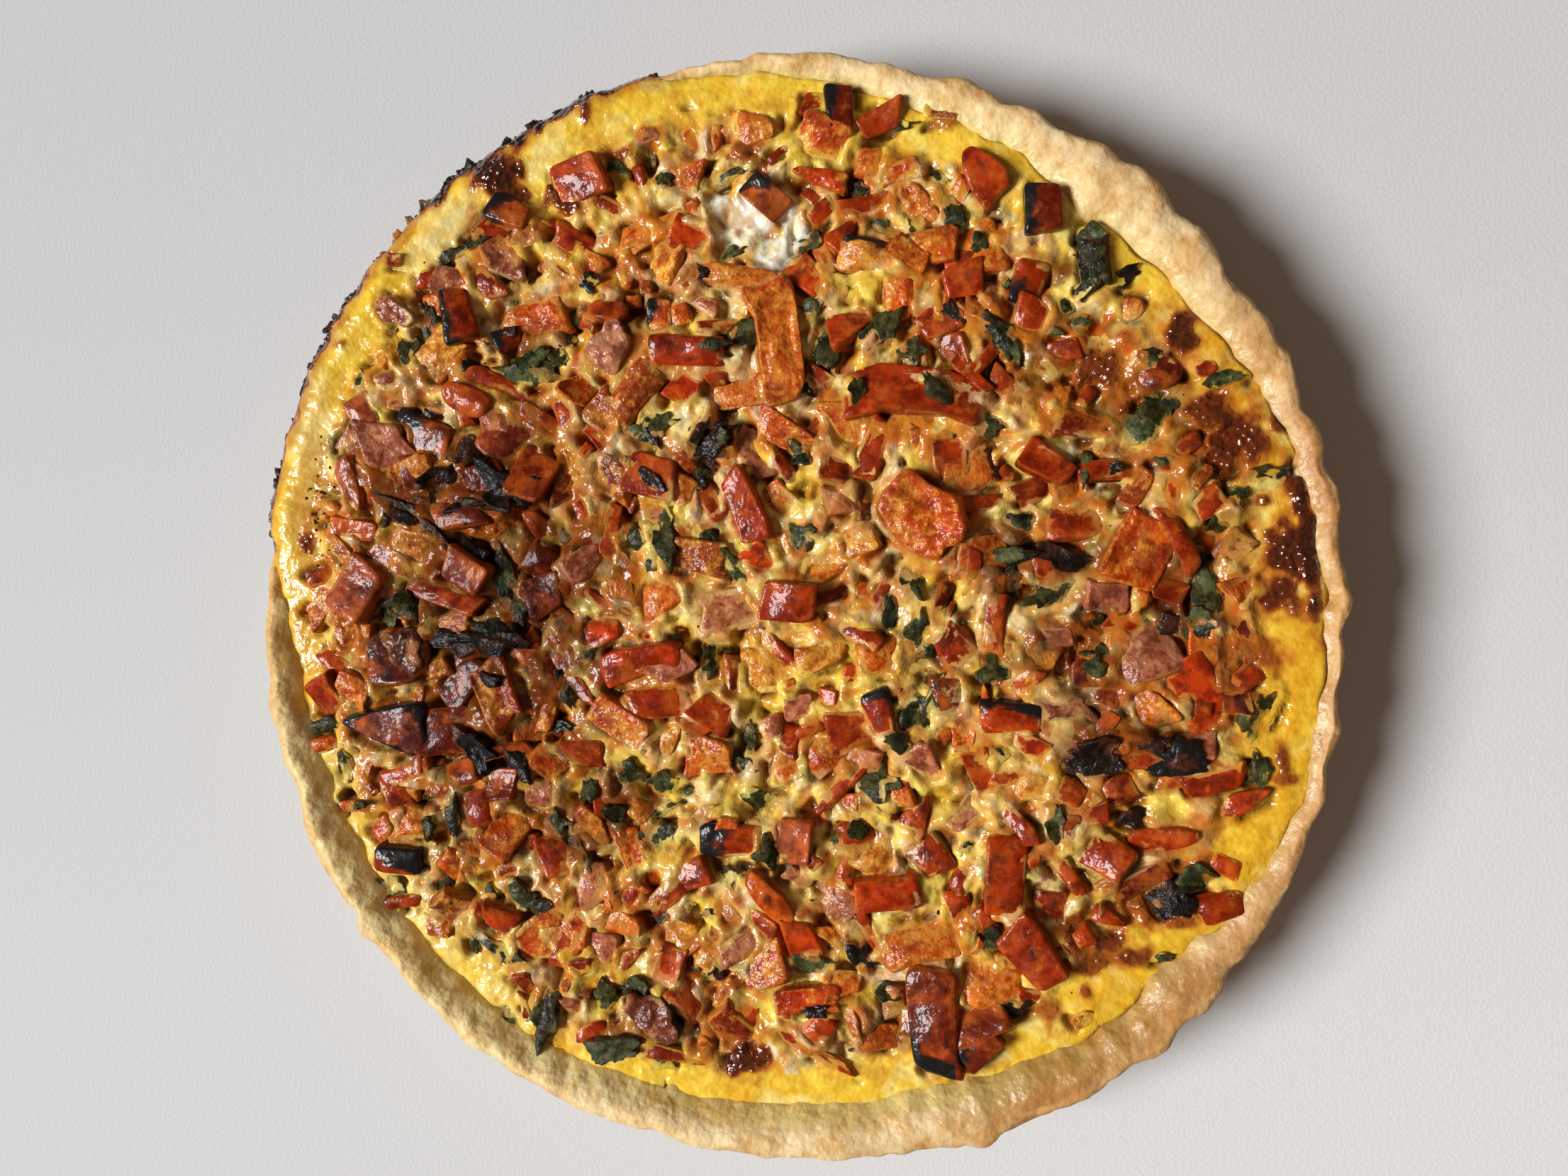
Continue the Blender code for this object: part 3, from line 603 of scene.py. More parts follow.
class Tree:
    """Short words for making a material's nodes."""

    def __init__(self, name):
        self.material = bpy.data.materials.new(name)
        self.material.use_nodes = True
        self.nodes, self.links = self.material.node_tree.nodes, self.material.node_tree.links
        self.nodes.clear()
        self.place = self.add("ShaderNodeTexCoord").outputs["Object"]

    def add(self, kind, settings=(), **inputs):
        """A node with its settings and its inputs, whose names have _ for a space."""
        node = self.nodes.new(kind)
        for key, value in dict(settings).items():
            setattr(node, key, value)
        for key, value in inputs.items():
            self.give(node.inputs[key.replace("_", " ")], value)
        return node

    def give(self, socket, value):
        """Link a socket to another one, or set its value; a colour gets its alpha."""
        if isinstance(value, bpy.types.NodeSocket):
            self.links.new(value, socket)
        elif socket.type == "RGBA":
            socket.default_value = (*value, 1)
        else:
            socket.default_value = value

    def noise(self, size, detail=3.0, roughness=0.55, distortion=0.0, stretch=None):
        """Noise from 0 to 1 whose bumps are about size millimetres wide."""
        place = self.place
        if stretch is not None:
            place = self.add("ShaderNodeMapping", Vector=place, Scale=stretch).outputs[0]
        return self.add("ShaderNodeTexNoise", Vector=place, Scale=1 / (size * MM), Detail=detail,
                        Roughness=roughness, Distortion=distortion).outputs[0]

    def bubbles(self, size):
        return self.add("ShaderNodeTexVoronoi", {"feature": "SMOOTH_F1"}, Vector=self.place,
                        Scale=1 / (size * MM)).outputs["Distance"]

    def ramp(self, value, low, high, to_low=0.0, to_high=1.0):
        """A value from low to high turned smoothly into one from to_low to to_high."""
        node = self.add("ShaderNodeMapRange", {"interpolation_type": "SMOOTHSTEP"}, Value=value)
        for key, number in zip(("From Min", "From Max", "To Min", "To Max"),
                               (low, high, to_low, to_high)):
            node.inputs[key].default_value = number
        return node.outputs[0]

    def math(self, operation, a, b=0.0):
        node = self.add("ShaderNodeMath", {"operation": operation})
        self.give(node.inputs[0], a)
        self.give(node.inputs[1], b)
        return node.outputs[0]

    def mix(self, share, a, b, blend="MIX"):
        node = self.add("ShaderNodeMix", {"data_type": "RGBA", "blend_type": blend})
        self.give(node.inputs[0], share)
        self.give(node.inputs[6], a)
        self.give(node.inputs[7], b)
        return node.outputs[2]

    def shade(self, colour, by):
        return self.mix(1.0, colour, by, "MULTIPLY")

    def uneven(self, base, noise, amount):
        """A value that wanders to both sides of base."""
        return self.math("ADD", base, self.math("MULTIPLY", self.math("SUBTRACT", noise, 0.5), amount))

    def attribute(self, name):
        return self.add("ShaderNodeAttribute", {"attribute_name": name})

    def marks(self):
        """The three parts of the marks attribute."""
        split = self.add("ShaderNodeSeparateColor", Color=self.attribute("marks").outputs["Color"])
        return split.outputs[0], split.outputs[1], split.outputs[2]

    def bump(self, value, depth, normal=None):
        """A normal for relief of this depth in millimetres, over another normal if given."""
        node = self.add("ShaderNodeBump", Strength=1.0, Distance=depth * MM, Height=value)
        if normal is not None:
            self.give(node.inputs["Normal"], normal)
        return node.outputs[0]

    def finish(self, colour, roughness, normal, **constants):
        """The material with its shader, whose coat follows the same relief."""
        shader = self.add("ShaderNodeBsdfPrincipled", Base_Color=colour, Roughness=roughness,
                          Normal=normal)
        for key, value in constants.items():
            self.give(shader.inputs[key.replace("_", " ")], value)
        if "Coat_Weight" in constants:
            self.give(shader.inputs["Coat Normal"], normal)
        self.add("ShaderNodeOutputMaterial", Surface=shader.outputs[0])
        return self.material


def custard_material():
    """Egg custard: chopped bits and mottling over its tint, blistered where it burnt, and wet."""
    t = Tree("custard")
    burnt, soaked, middle = t.marks()
    dry = t.attribute("film").outputs["Alpha"]
    colour = t.attribute("tint").outputs["Color"]
    wander = t.add("ShaderNodeTexNoise", Vector=t.place, Scale=1 / (3.0 * MM), Detail=3.0)
    shifted = t.add("ShaderNodeVectorMath", {"operation": "MULTIPLY_ADD"})
    t.give(shifted.inputs[0], wander.outputs["Color"])
    shifted.inputs[1].default_value = (0.0035,) * 3
    t.give(shifted.inputs[2], t.place)
    chop = t.add("ShaderNodeTexVoronoi", Vector=shifted.outputs[0], Scale=1 / (4.2 * MM))
    kinds = t.add("ShaderNodeValToRGB")
    t.give(kinds.inputs[0], t.add("ShaderNodeSeparateColor",
                                  Color=chop.outputs["Color"]).outputs[0])
    kinds.color_ramp.interpolation = "CONSTANT"
    stops = kinds.color_ramp.elements
    stops[0].position, stops[0].color = 0.0, (*CREAM, 0.0)
    stops[1].position, stops[1].color = 0.38, (*CREAM, 0.7)
    for place, tone, share in ((0.48, PALE, 0.5), (0.56, TOAST, 0.6), (0.66, FLAME, 0.6),
                               (0.76, ROSY, 0.55), (0.84, ORANGE, 0.6), (0.92, SAGE, 0.4),
                               (0.95, RUST, 0.7)):
        stop = stops.new(place)
        stop.color = (*tone, share)
    colour = t.mix(t.math("MULTIPLY", kinds.outputs[1], t.math("MULTIPLY", middle, 0.55)), colour,
                   kinds.outputs[0])
    mottle = t.noise(3.2, 4.0, 0.62)
    colour = t.mix(t.ramp(mottle, 0.40, 0.60), t.shade(colour, (0.90, 0.78, 0.52)),
                   colour)
    grain = t.noise(1.1, 4.0, 0.65)
    heat = t.uneven(burnt, grain, 0.5)
    colour = t.mix(t.ramp(heat, 0.08, 0.50), colour, (0.30, 0.075, 0.009))
    colour = t.mix(t.ramp(heat, 0.45, 0.85), colour, (0.11, 0.018, 0.003))
    colour = t.mix(t.ramp(heat, 0.82, 1.10), colour, (0.018, 0.005, 0.002))
    bubbles = t.bubbles(1.6)
    depth = t.math("MULTIPLY", t.ramp(bubbles, 0.1, 0.6, 1.0, 0.0), t.ramp(burnt, 0.2, 0.7))
    normal = t.bump(depth, 0.38)
    lumpy = t.math("MULTIPLY", t.noise(2.7, 1.5, 0.5), t.ramp(middle, 0, 1, 0.7, 1))
    normal = t.bump(lumpy, 0.55, normal)
    normal = t.bump(t.noise(1.3, 1.5, 0.5), 0.24, normal)
    roughness = t.math("SUBTRACT", t.ramp(t.noise(2.6, 3.0), 0.3, 0.7, 0.26, 0.44),
                       t.math("MULTIPLY", t.math("MAXIMUM", soaked, burnt), 0.14))
    return t.finish(colour, roughness, normal, Specular_IOR_Level=0.08,
                    Coat_Weight=t.math("MULTIPLY", t.ramp(burnt, 0.2, 0.8, 0.5, 1.0),
                                       t.ramp(dry, 0.0, 1.0, 1.0, 0.4)),
                    Coat_Roughness=0.06, Subsurface_Weight=0.12, Subsurface_Scale=0.0035,
                    Subsurface_Radius=(1.0, 0.55, 0.18))


def crust_material():
    """Baked pastry: patches, flour and browning over its tint, glossy where fat has soaked in."""
    t = Tree("pastry")
    baked, oily, _ = t.marks()
    colour = t.attribute("tint").outputs["Color"]
    patches = t.noise(6.5, 5.0, 0.62, 0.5)
    colour = t.mix(t.ramp(patches, 0.42, 0.66), colour,
                   t.shade(colour, (0.86, 0.70, 0.48)))
    fine = t.noise(1.2, 4.0, 0.65)
    colour = t.mix(t.ramp(fine, 0.52, 0.72), colour,
                   t.shade(colour, (0.92, 0.84, 0.72)))
    flour = t.ramp(t.noise(2.3, 5.0, 0.7), 0.60, 0.70)
    colour = t.mix(t.math("MULTIPLY", flour, t.ramp(oily, 0.0, 0.5, 0.40, 0.0)), colour,
                   FLOUR)
    heat = t.uneven(baked, fine, 0.8)
    colour = t.mix(t.ramp(heat, 0.20, 0.75), colour, (0.42, 0.17, 0.035))
    colour = t.mix(t.ramp(heat, 0.75, 1.10), colour, (0.13, 0.035, 0.008))
    normal = t.bump(t.noise(5.0, 2.0, 0.5), 1.10)
    normal = t.bump(t.noise(1.7, 4.0, 0.6), 0.34, normal)
    roughness = t.math("SUBTRACT", t.ramp(fine, 0.3, 0.7, 0.52, 0.70),
                       t.math("MULTIPLY", oily, 0.28))
    return t.finish(colour, roughness, normal, Specular_IOR_Level=0.30, Coat_Roughness=0.10,
                    Coat_Weight=t.math("MULTIPLY", oily, 0.35), Subsurface_Weight=0.08,
                    Subsurface_Scale=0.002, Subsurface_Radius=(1.0, 0.6, 0.3))


def topping_material(name, mottle_size, dark, pale, pale_share, rough_low, rough_high, bump_size,
                     bump_depth, bump_detail, coat, stretch=None):
    """A topping: its own tint with darker and paler patches, paler cut edges, and char."""
    t = Tree(name)
    burnt, filmed, edge = t.marks()
    colour = t.attribute("tint").outputs["Color"]
    filmed = t.ramp(t.uneven(filmed, t.noise(1.9, 5.0, 0.65), 1.3), 0.38, 0.62)
    bare = t.math("SUBTRACT", 1.0, filmed)
    mottle = t.ramp(t.noise(mottle_size, 4.0, 0.65, 0.0, stretch), 0.60, 0.38)
    colour = t.mix(t.math("MULTIPLY", mottle, bare), colour,
                   t.shade(colour, dark))
    bloom = t.ramp(t.noise(mottle_size * 1.6, 5.0, 0.68, 0.0, stretch), 0.50, 0.68)
    bloom = t.math("MAXIMUM", t.math("MULTIPLY", bloom, pale_share), t.math("MULTIPLY", edge, 0.4))
    colour = t.mix(t.math("MULTIPLY", bloom, bare), colour, pale)
    colour = t.mix(t.math("MULTIPLY", filmed, 0.64), colour, t.attribute("film").outputs["Color"])
    grain = t.noise(1.3, 4.0, 0.65)
    singed = t.math("MULTIPLY", edge, t.ramp(t.noise(4.5, 3.0, 0.6), 0.50, 0.62))
    colour = t.mix(t.math("MULTIPLY", singed, 0.8), colour, (0.11, 0.018, 0.004))
    heat = t.uneven(burnt, grain, 0.7)
    colour = t.mix(t.ramp(heat, 0.30, 0.55), colour, (0.07, 0.012, 0.005))
    colour = t.mix(t.ramp(heat, 0.55, 0.80), colour, (0.010, 0.008, 0.008))
    normal = t.bump(t.noise(bump_size, bump_detail, 0.5, 0.0, stretch), bump_depth)
    roughness = t.ramp(t.noise(2.2, 3.0), 0.3, 0.7, rough_low, rough_high)
    dry = t.attribute("film").outputs["Alpha"]
    return t.finish(colour, roughness, normal, Specular_IOR_Level=0.10,
                    Coat_Weight=t.ramp(dry, 0.0, 1.0, coat, 0.3 * coat),
                    Coat_Roughness=0.09, Subsurface_Weight=0.06, Subsurface_Scale=0.002,
                    Subsurface_Radius=(1.0, 0.3, 0.1))


MATERIALS = {
    "pepper": topping_material("pepper", 4.2, (0.52, 0.34, 0.30), (0.74, 0.17, 0.018), 0.35,
                               0.26, 0.44, 2.2, 0.40, 2.5, 0.30),
    "tomato": topping_material("tomato", 2.0, (0.70, 0.36, 0.22), (0.80, 0.36, 0.040), 0.60,
                               0.34, 0.55, 1.7, 0.60, 2.5, 0.36),
    "ham": topping_material("ham", 2.2, (0.60, 0.40, 0.35), (0.62, 0.28, 0.12), 0.55,
                            0.30, 0.52, 1.6, 0.45, 2.5, 0.32),
    "leaf": topping_material("leaf", 2.2, (0.35, 0.36, 0.30), (0.115, 0.100, 0.024), 0.6,
                             0.34, 0.60, 1.7, 0.55, 2.0, 0.07),
    "charred": topping_material("charred", 2.0, (0.5, 0.45, 0.4), (0.07, 0.022, 0.010), 0.35,
                                0.34, 0.60, 1.2, 0.45, 2.0, 0.20),
}


# Pieces of topping -----------------------------------------------------------------------

# Corner roundness (2 is an oval), how far one end narrows, how pointed
FORMS = {"dice": (10, 0.08, 0), "strip": (8, 0.10, 0), "oval": (2.2, 0.05, 0), "wedge": (3.4, 0.62, 0),
         "triangle": (4, 0.88, 0), "leaf": (2.0, 0.15, 0.75), "lump": (2.5, 0.18, 0)}
# Section of a piece from under its middle to above it: share of the outline, level
SECTION = ((0.62, -0.50), (0.93, -0.47), (1.0, -0.25), (1.0, 0.0), (1.0, 0.22), (0.985, 0.38),
           (0.95, 0.465), (0.88, 0.50), (0.76, 0.515), (0.60, 0.53), (0.42, 0.54), (0.22, 0.55))
FINE_SECTION = ((0.62, -0.50), (0.93, -0.47), (1.0, -0.25), (1.0, -0.05), (1.0, 0.12), (1.0, 0.26),
                (0.992, 0.36), (0.975, 0.43), (0.945, 0.475), (0.90, 0.50), (0.83, 0.51), (0.75, 0.515),
                (0.66, 0.52), (0.57, 0.525), (0.47, 0.53), (0.37, 0.535), (0.26, 0.54), (0.14, 0.545))
# For each kind: crumple of the outline, bumps (size, height) twice, dome, stretch of bumps, and
# the tints that its own tint wanders towards
NATURE = {
    "pepper": (0.055, 7.0, 0.65, 2.4, 0.18, 0.06, 1.0, (0.46, 0.085, 0.012), (0.10, 0.014, 0.005)),
    "tomato": (0.14, 4.0, 0.80, 1.7, 0.45, 0.05, 2.0, (0.56, 0.25, 0.035), (0.27, 0.035, 0.008)),
    "ham": (0.18, 4.5, 0.75, 2.0, 0.40, 0.05, 1.0, (0.50, 0.19, 0.07), (0.13, 0.025, 0.014)),
    "leaf": (0.30, 5.0, 1.10, 2.0, 0.40, 0.10, 1.4, (0.10, 0.12, 0.045), (0.010, 0.012, 0.008)),
    "charred": (0.34, 4.0, 1.00, 1.6, 0.40, 0.10, 1.2, (0.060, 0.018, 0.010), (0.006, 0.006, 0.006)),
}


# How much of the custard's film lies over each kind
FILM = {"pepper": 0.40, "tomato": 0.55, "ham": 0.65, "leaf": 0.25, "charred": 0.1}
# Kinds that lie in thin ragged flakes on top of the others
THIN = ("leaf", "charred")


def outline(form, count):
    """A form's outline seen from above, from -1 to 1 both ways."""
    corner, taper, point = FORMS[form]
    angle = math.tau * (np.arange(count) + 0.5) / count
    along, across = (np.sign(w) * np.abs(w) ** (2 / corner) for w in (np.cos(angle), np.sin(angle)))
    across = across * (1 - taper * (0.5 + 0.5 * along)) * (1 - point * along * along)
    return np.stack((along, across), 1)


class Heap:
    """All pieces of one kind that become one mesh."""

    def __init__(self):
        self.parts = []
        self.size = 0

    def take(self, points, faces, *looks):
        """Add one piece as piece() gives it."""
        self.parts.append((points, faces + self.size, *looks))
        self.size += len(points)

    def make(self, name, kind):
        """Join the pieces in one object."""
        arrays = (np.concatenate(part) for part in zip(*self.parts))
        made = make_object(name, *arrays, MATERIALS[kind])
        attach(made, "root")


Plan = namedtuple("Plan", "kind form place axes half_length half_width thickness colour seed bow "
                          "burnt burnt_from count section film")


def piece(plan):
    """Points, triangles, colours, marks and film of one topping; its axes are rows."""
    crumple, size_1, high_1, size_2, high_2, dome, stretch, warm, dark = NATURE[plan.kind]
    form, count, thickness = plan.form, plan.count, plan.thickness
    half_length, half_width, axes = plan.half_length, plan.half_width, np.asarray(plan.axes)
    own = np.random.default_rng(plan.seed)
    shift = own.uniform(0, 90, 3)
    shape = outline(form, count)
    torn = plan.kind in THIN
    bend = rough(shape * (2.2 if torn else 1.3) + shift[:2], 1.0, 41, 3 if torn else 2)
    shape = shape * (1 + crumple * bend[:, None] * 1.6)
    skew, twist, narrow, slant = own.uniform(-0.22, 0.22, 4) * (0.45 if plan.seed < 200 else 1)
    bow_1, bow_2 = own.uniform(-0.9, 0.6, 2) * min(1.0, half_width / 4)
    if form in ("dice", "strip", "wedge"):
        shape = np.stack((shape[:, 0] * (1 + slant * shape[:, 1])
                          + skew * shape[:, 1] * half_width / half_length,
                          shape[:, 1] * (1 + narrow * shape[:, 0]) + 0.5 * twist * shape[:, 0]), 1)
    rows = np.array(plan.section)
    share = np.concatenate((np.repeat(rows[:, 0], count), (0, 0)))
    level = np.concatenate((np.repeat(rows[:, 1], count), (-0.5, 0.55)))
    flat = np.concatenate((np.tile(shape, (len(rows), 1)), ((0, 0), (0, 0)))) * share[:, None]
    local = np.stack((flat[:, 0] * half_length,
                      flat[:, 1] * half_width + plan.bow * (1 - flat[:, 0] ** 2),
                      level * thickness), 1)
    small = min(1.0, half_width / 4.0)
    upper = smooth(level, -0.1, 0.45)
    grain = (local + shift) / (stretch, 1, 1)
    rise = small * (high_1 * rough(grain, size_1, 42) + high_2 * rough(grain, size_2, 43, 2))
    local[:, 2] += upper * (rise + dome * small * (1 - share ** 2))
    local[:, 2] += bow_1 * flat[:, 0] ** 2 + bow_2 * flat[:, 1] ** 2
    side = small * 0.5 * (high_1 * rough(grain + 50, size_1, 44)
                          + high_2 * rough(grain + 50, size_2, 45))
    out = flat / np.maximum(np.hypot(*flat.T), 0.3)[:, None]
    local[:, :2] += (side * smooth(share, 0.5, 1.0))[:, None] * out
    turned = local @ axes
    world = np.asarray(plan.place) + turned
    above = world[:, 2] - sample(height, world[:, 0], world[:, 1])
    marks = np.zeros((len(world), 3))
    if plan.burnt > 0:
        amount = share - 1.25 + plan.burnt
        if plan.burnt_from is not None:
            way = np.array((math.cos(math.radians(plan.burnt_from)),
                            math.sin(math.radians(plan.burnt_from))))
            along = turned[:, :2] @ way
            amount = along / (np.abs(along).max() + 0.01) * 0.5 + plan.burnt - 0.5
        marks[:, 0] = smooth(amount + 0.22 * rough(world, 3.5, 50, 3), -0.14, 0.14)
    filmed = smooth(above + 0.7 * rough(world, 1.6, 46, 2), 1.1, 0.1)
    spread = smooth(rough(world[:, :2], 9.0, 60, 3), 0.0, 0.5) * smooth(above, 4.5, 1.5)
    marks[:, 1] = plan.film * np.maximum(filmed, FILM[plan.kind] * spread)
    marks[:, 2] = smooth(share, 0.93, 1.0) * smooth(level, 0.1, 0.4)
    colours = np.tile(np.asarray(plan.colour, float), (len(world), 1))
    colours *= (1 + 0.20 * rough(world, 5.0, 47))[:, None]
    shade = sample(gloom, world[:, 0], world[:, 1])
    colours = mixed(colours, colours * (0.36, 0.26, 0.26), shade)
    colours = mixed(colours, warm, 0.7 * smooth(rough(grain, 4.5, 48, 2), 0.05, 0.6))
    colours = mixed(colours, dark, 0.75 * smooth(rough(grain, 3.5, 49, 2), 0.15, 0.65))
    if plan.kind == "tomato":
        skin = np.cos(np.arctan2(flat[:, 1], flat[:, 0]) - own.uniform(0, math.tau))
        colours = mixed(colours, (0.42, 0.040, 0.010),
                        0.85 * smooth(share, 0.84, 0.93) * smooth(skin + 0.3 * share, 0.3, 0.8))
    films = np.concatenate((sample(tint, world[:, 0], world[:, 1]), shade[:, None]), 1)
    faces = [strip_faces(k * count, (k + 1) * count, count) for k in range(len(rows) - 1)]
    faces.append(fan_faces(len(rows) * count, 0, count, False))
    faces.append(fan_faces(len(rows) * count + 1, (len(rows) - 1) * count, count, True))
    return world, np.concatenate(faces), np.clip(colours, 0, 1), marks, np.clip(films, 0, 1)


def tilted(turn, roll, pitch):
    """Rows of the axes of a piece turned about Z, then rolled and pitched in its own frame."""
    turns = (Matrix.Rotation(math.radians(angle), 3, axis)
             for angle, axis in ((turn, "Z"), (pitch, "Y"), (roll, "X")))
    about_z, about_y, about_x = turns
    return np.array((about_z @ about_y @ about_x).transposed())


# The CAD's toppings by node, as form, tint, burnt share and side it burnt from. What a row
# leaves out, or a node that has none, is a red dice that isn't burnt.
PLAIN_LOOK = ("dice", RED, 0, None)
NODE_LOOKS = {
    "charred_01": ("leaf", BLACK, 0.6), "charred_02": ("dice", BLACK, 1.2),
    "charred_03": ("wedge", (0.20, 0.11, 0.06), 0.7, 0), "charred_04": ("lump", BLACK, 0.9),
    "charred_05": ("lump", (0.08, 0.02, 0.01), 0.8), "ham_01": ("lump", MEAT),
    "ham_02": ("lump", (0.46, 0.20, 0.10)), "ham_03": ("lump", MEATLUMP),
    "ham_04": ("lump", (0.16, 0.035, 0.018), 0.3), "leaf_01": ("leaf", LEAF),
    "leaf_02": ("dice", DARKLEAF, 0.3), "leaf_03": ("leaf", DARKLEAF), "leaf_04": ("leaf", DARKLEAF),
    "leaf_05": ("leaf", (0.035, 0.022, 0.014)), "leaf_06": ("lump", (0.095, 0.095, 0.055)),
    "pepper_01": ("dice", RED, 0.42, 200), "pepper_02": ("dice", RUST, 0.40, 130),
    "pepper_03": ("oval", FLAME), "pepper_04": ("dice", ROSY), "pepper_05": ("dice", DEEP, 0.42, 180),
    "pepper_06": ("dice", RUST, 0.36, 100), "pepper_08": ("strip", RED), "pepper_09": ("wedge", RED),
    "pepper_10": ("dice", DEEP, 0.36, 180), "pepper_11": ("wedge", ROSY), "pepper_12": ("dice", FLAME),
    "pepper_13": ("dice", ROSY), "pepper_14": ("dice", ROSY),
    "pepper_15": ("triangle", (0.20, 0.06, 0.05), 0.46), "pepper_19": ("strip", BRIGHT),
    "pepper_20": ("dice", RED, 0.30, 90), "pepper_22": ("dice", BRIGHT, 0.30, 90),
    "pepper_23": ("dice", RED, 0.62, 60), "pepper_24": ("dice", RED, 0.34, 180),
    "pepper_25": ("dice", ROSY), "pepper_26": ("oval", FLAME), "pepper_27": ("dice", BRIGHT),
    "pepper_28": ("dice", DEEP, 0.28, 240), "pepper_31": ("dice", DEEP, 0.25, 200),
    "tomato_01": ("wedge", BRIGHT), "tomato_02": ("dice", AMBER, 0.26, 90), "tomato_03": ("dice", FLAME),
    "tomato_04": ("strip", ORANGE), "tomato_05": ("dice", RUST), "tomato_06": ("oval", FLAME),
    "tomato_07": ("dice", RUST), "tomato_08": ("dice", FLAME), "tomato_10": ("dice", ORANGE),
    "tomato_11": ("dice", FLAME), "tomato_12": ("dice", BRIGHT),
}


def node_ring(name):
    """A topping's middle ring of corners, its two hubs and their middle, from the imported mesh."""
    points, triangles = node_mesh(name)
    joined = {k: set() for k in range(len(points))}
    for a, b, c in triangles:
        joined[a] |= {b, c}
        joined[b] |= {a, c}
        joined[c] |= {a, b}
    best = None
    for first in joined:
        for second in joined:
            if points[second][2] <= points[first][2]:
                continue
            low, high = joined[first], joined[second]
            rest = set(joined) - low - high - {first, second}
            if not low & high and len(low) == len(high) == len(rest):
                if best is None or len(low) > best[0]:
                    best = (len(low), first, second, sorted(rest))
    _, low, high, middle = best
    return points[middle], points[low], points[high]


# Pieces that curl: how far the middle stands north of a straight line between the ends
CURLS = {"pepper_08": 4.5, "pepper_19": 1.8, "pepper_17": 1.0, "tomato_04": 1.5, "pepper_28": -1.0,
         "charred_01": 1.5, "leaf_03": 1.0}


def node_plan(name, number):
    """The finished topping over one CAD node, at the node's own place, size and tilt."""
    kind = name[:-3]
    look = NODE_LOOKS.get(name, ())
    form, colour, burnt, burnt_from = (*look, *PLAIN_LOOK[len(look):])
    middle, low, high = node_ring(name)
    up = (high - low) / np.linalg.norm(high - low)
    flat = middle - middle.mean(axis=0)
    flat = flat - np.outer(flat @ up, up)
    _, _, rows = np.linalg.svd(flat)
    along = rows[0] - up * (rows[0] @ up)
    along /= np.linalg.norm(along)
    across = np.cross(up, along)
    u, v = flat @ along, flat @ across
    if FORMS[form][1] > 0.3 and np.ptp(v[u > 0]) > np.ptp(v[u < 0]):
        along, across, u, v = -along, -across, -u, -v
    centre = middle.mean(axis=0) + along * (u.max() + u.min()) / 2 + across * (v.max() + v.min()) / 2
    thickness = np.linalg.norm(high - low) - 0.4
    centre = centre + up * (((low + high) / 2 - centre) @ up)
    large = np.ptp(u) > 17
    bow = CURLS.get(name, 0.0) * (1 if across[1] > 0 else -1)
    centre = centre - across * bow / 2
    return Plan(kind, form, centre, (along, across, up), np.ptp(u) / 2 * 1.04, np.ptp(v) / 2 * 1.04,
                thickness, colour, 100 + number, bow, burnt, burnt_from, 64 if large else 48,
                FINE_SECTION, 1.0)


# How far each kind's juice and browning colour the custard round it
STAIN = {"pepper": 0.45, "tomato": 0.50, "ham": 0.30, "leaf": 0.0, "charred": 0.20}


def settle_round(plan, clean):
    """Stain the custard round a piece, then let it climb the piece's side."""
    x, y, z = plan.place
    long, wide = plan.half_length, plan.half_width
    turn = math.degrees(math.atan2(plan.axes[0][1], plan.axes[0][0]))
    if STAIN[plan.kind]:
        share = STAIN[plan.kind] * sample(inner, x, y) * (1 - 0.7 * sample(sunny, x, y))
        paint(x, y, long * 1.35 + 0.7, wide * 1.35 + 0.7, turn, JUICE, float(share), 0.4, 0.9)
    settle(x, y, long, wide, turn, z + 0.5 * plan.thickness, clean)


topping_nodes = sorted(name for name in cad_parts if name[:-3] in MATERIALS)
node_plans = {name: node_plan(name, number) for number, name in enumerate(topping_nodes)}

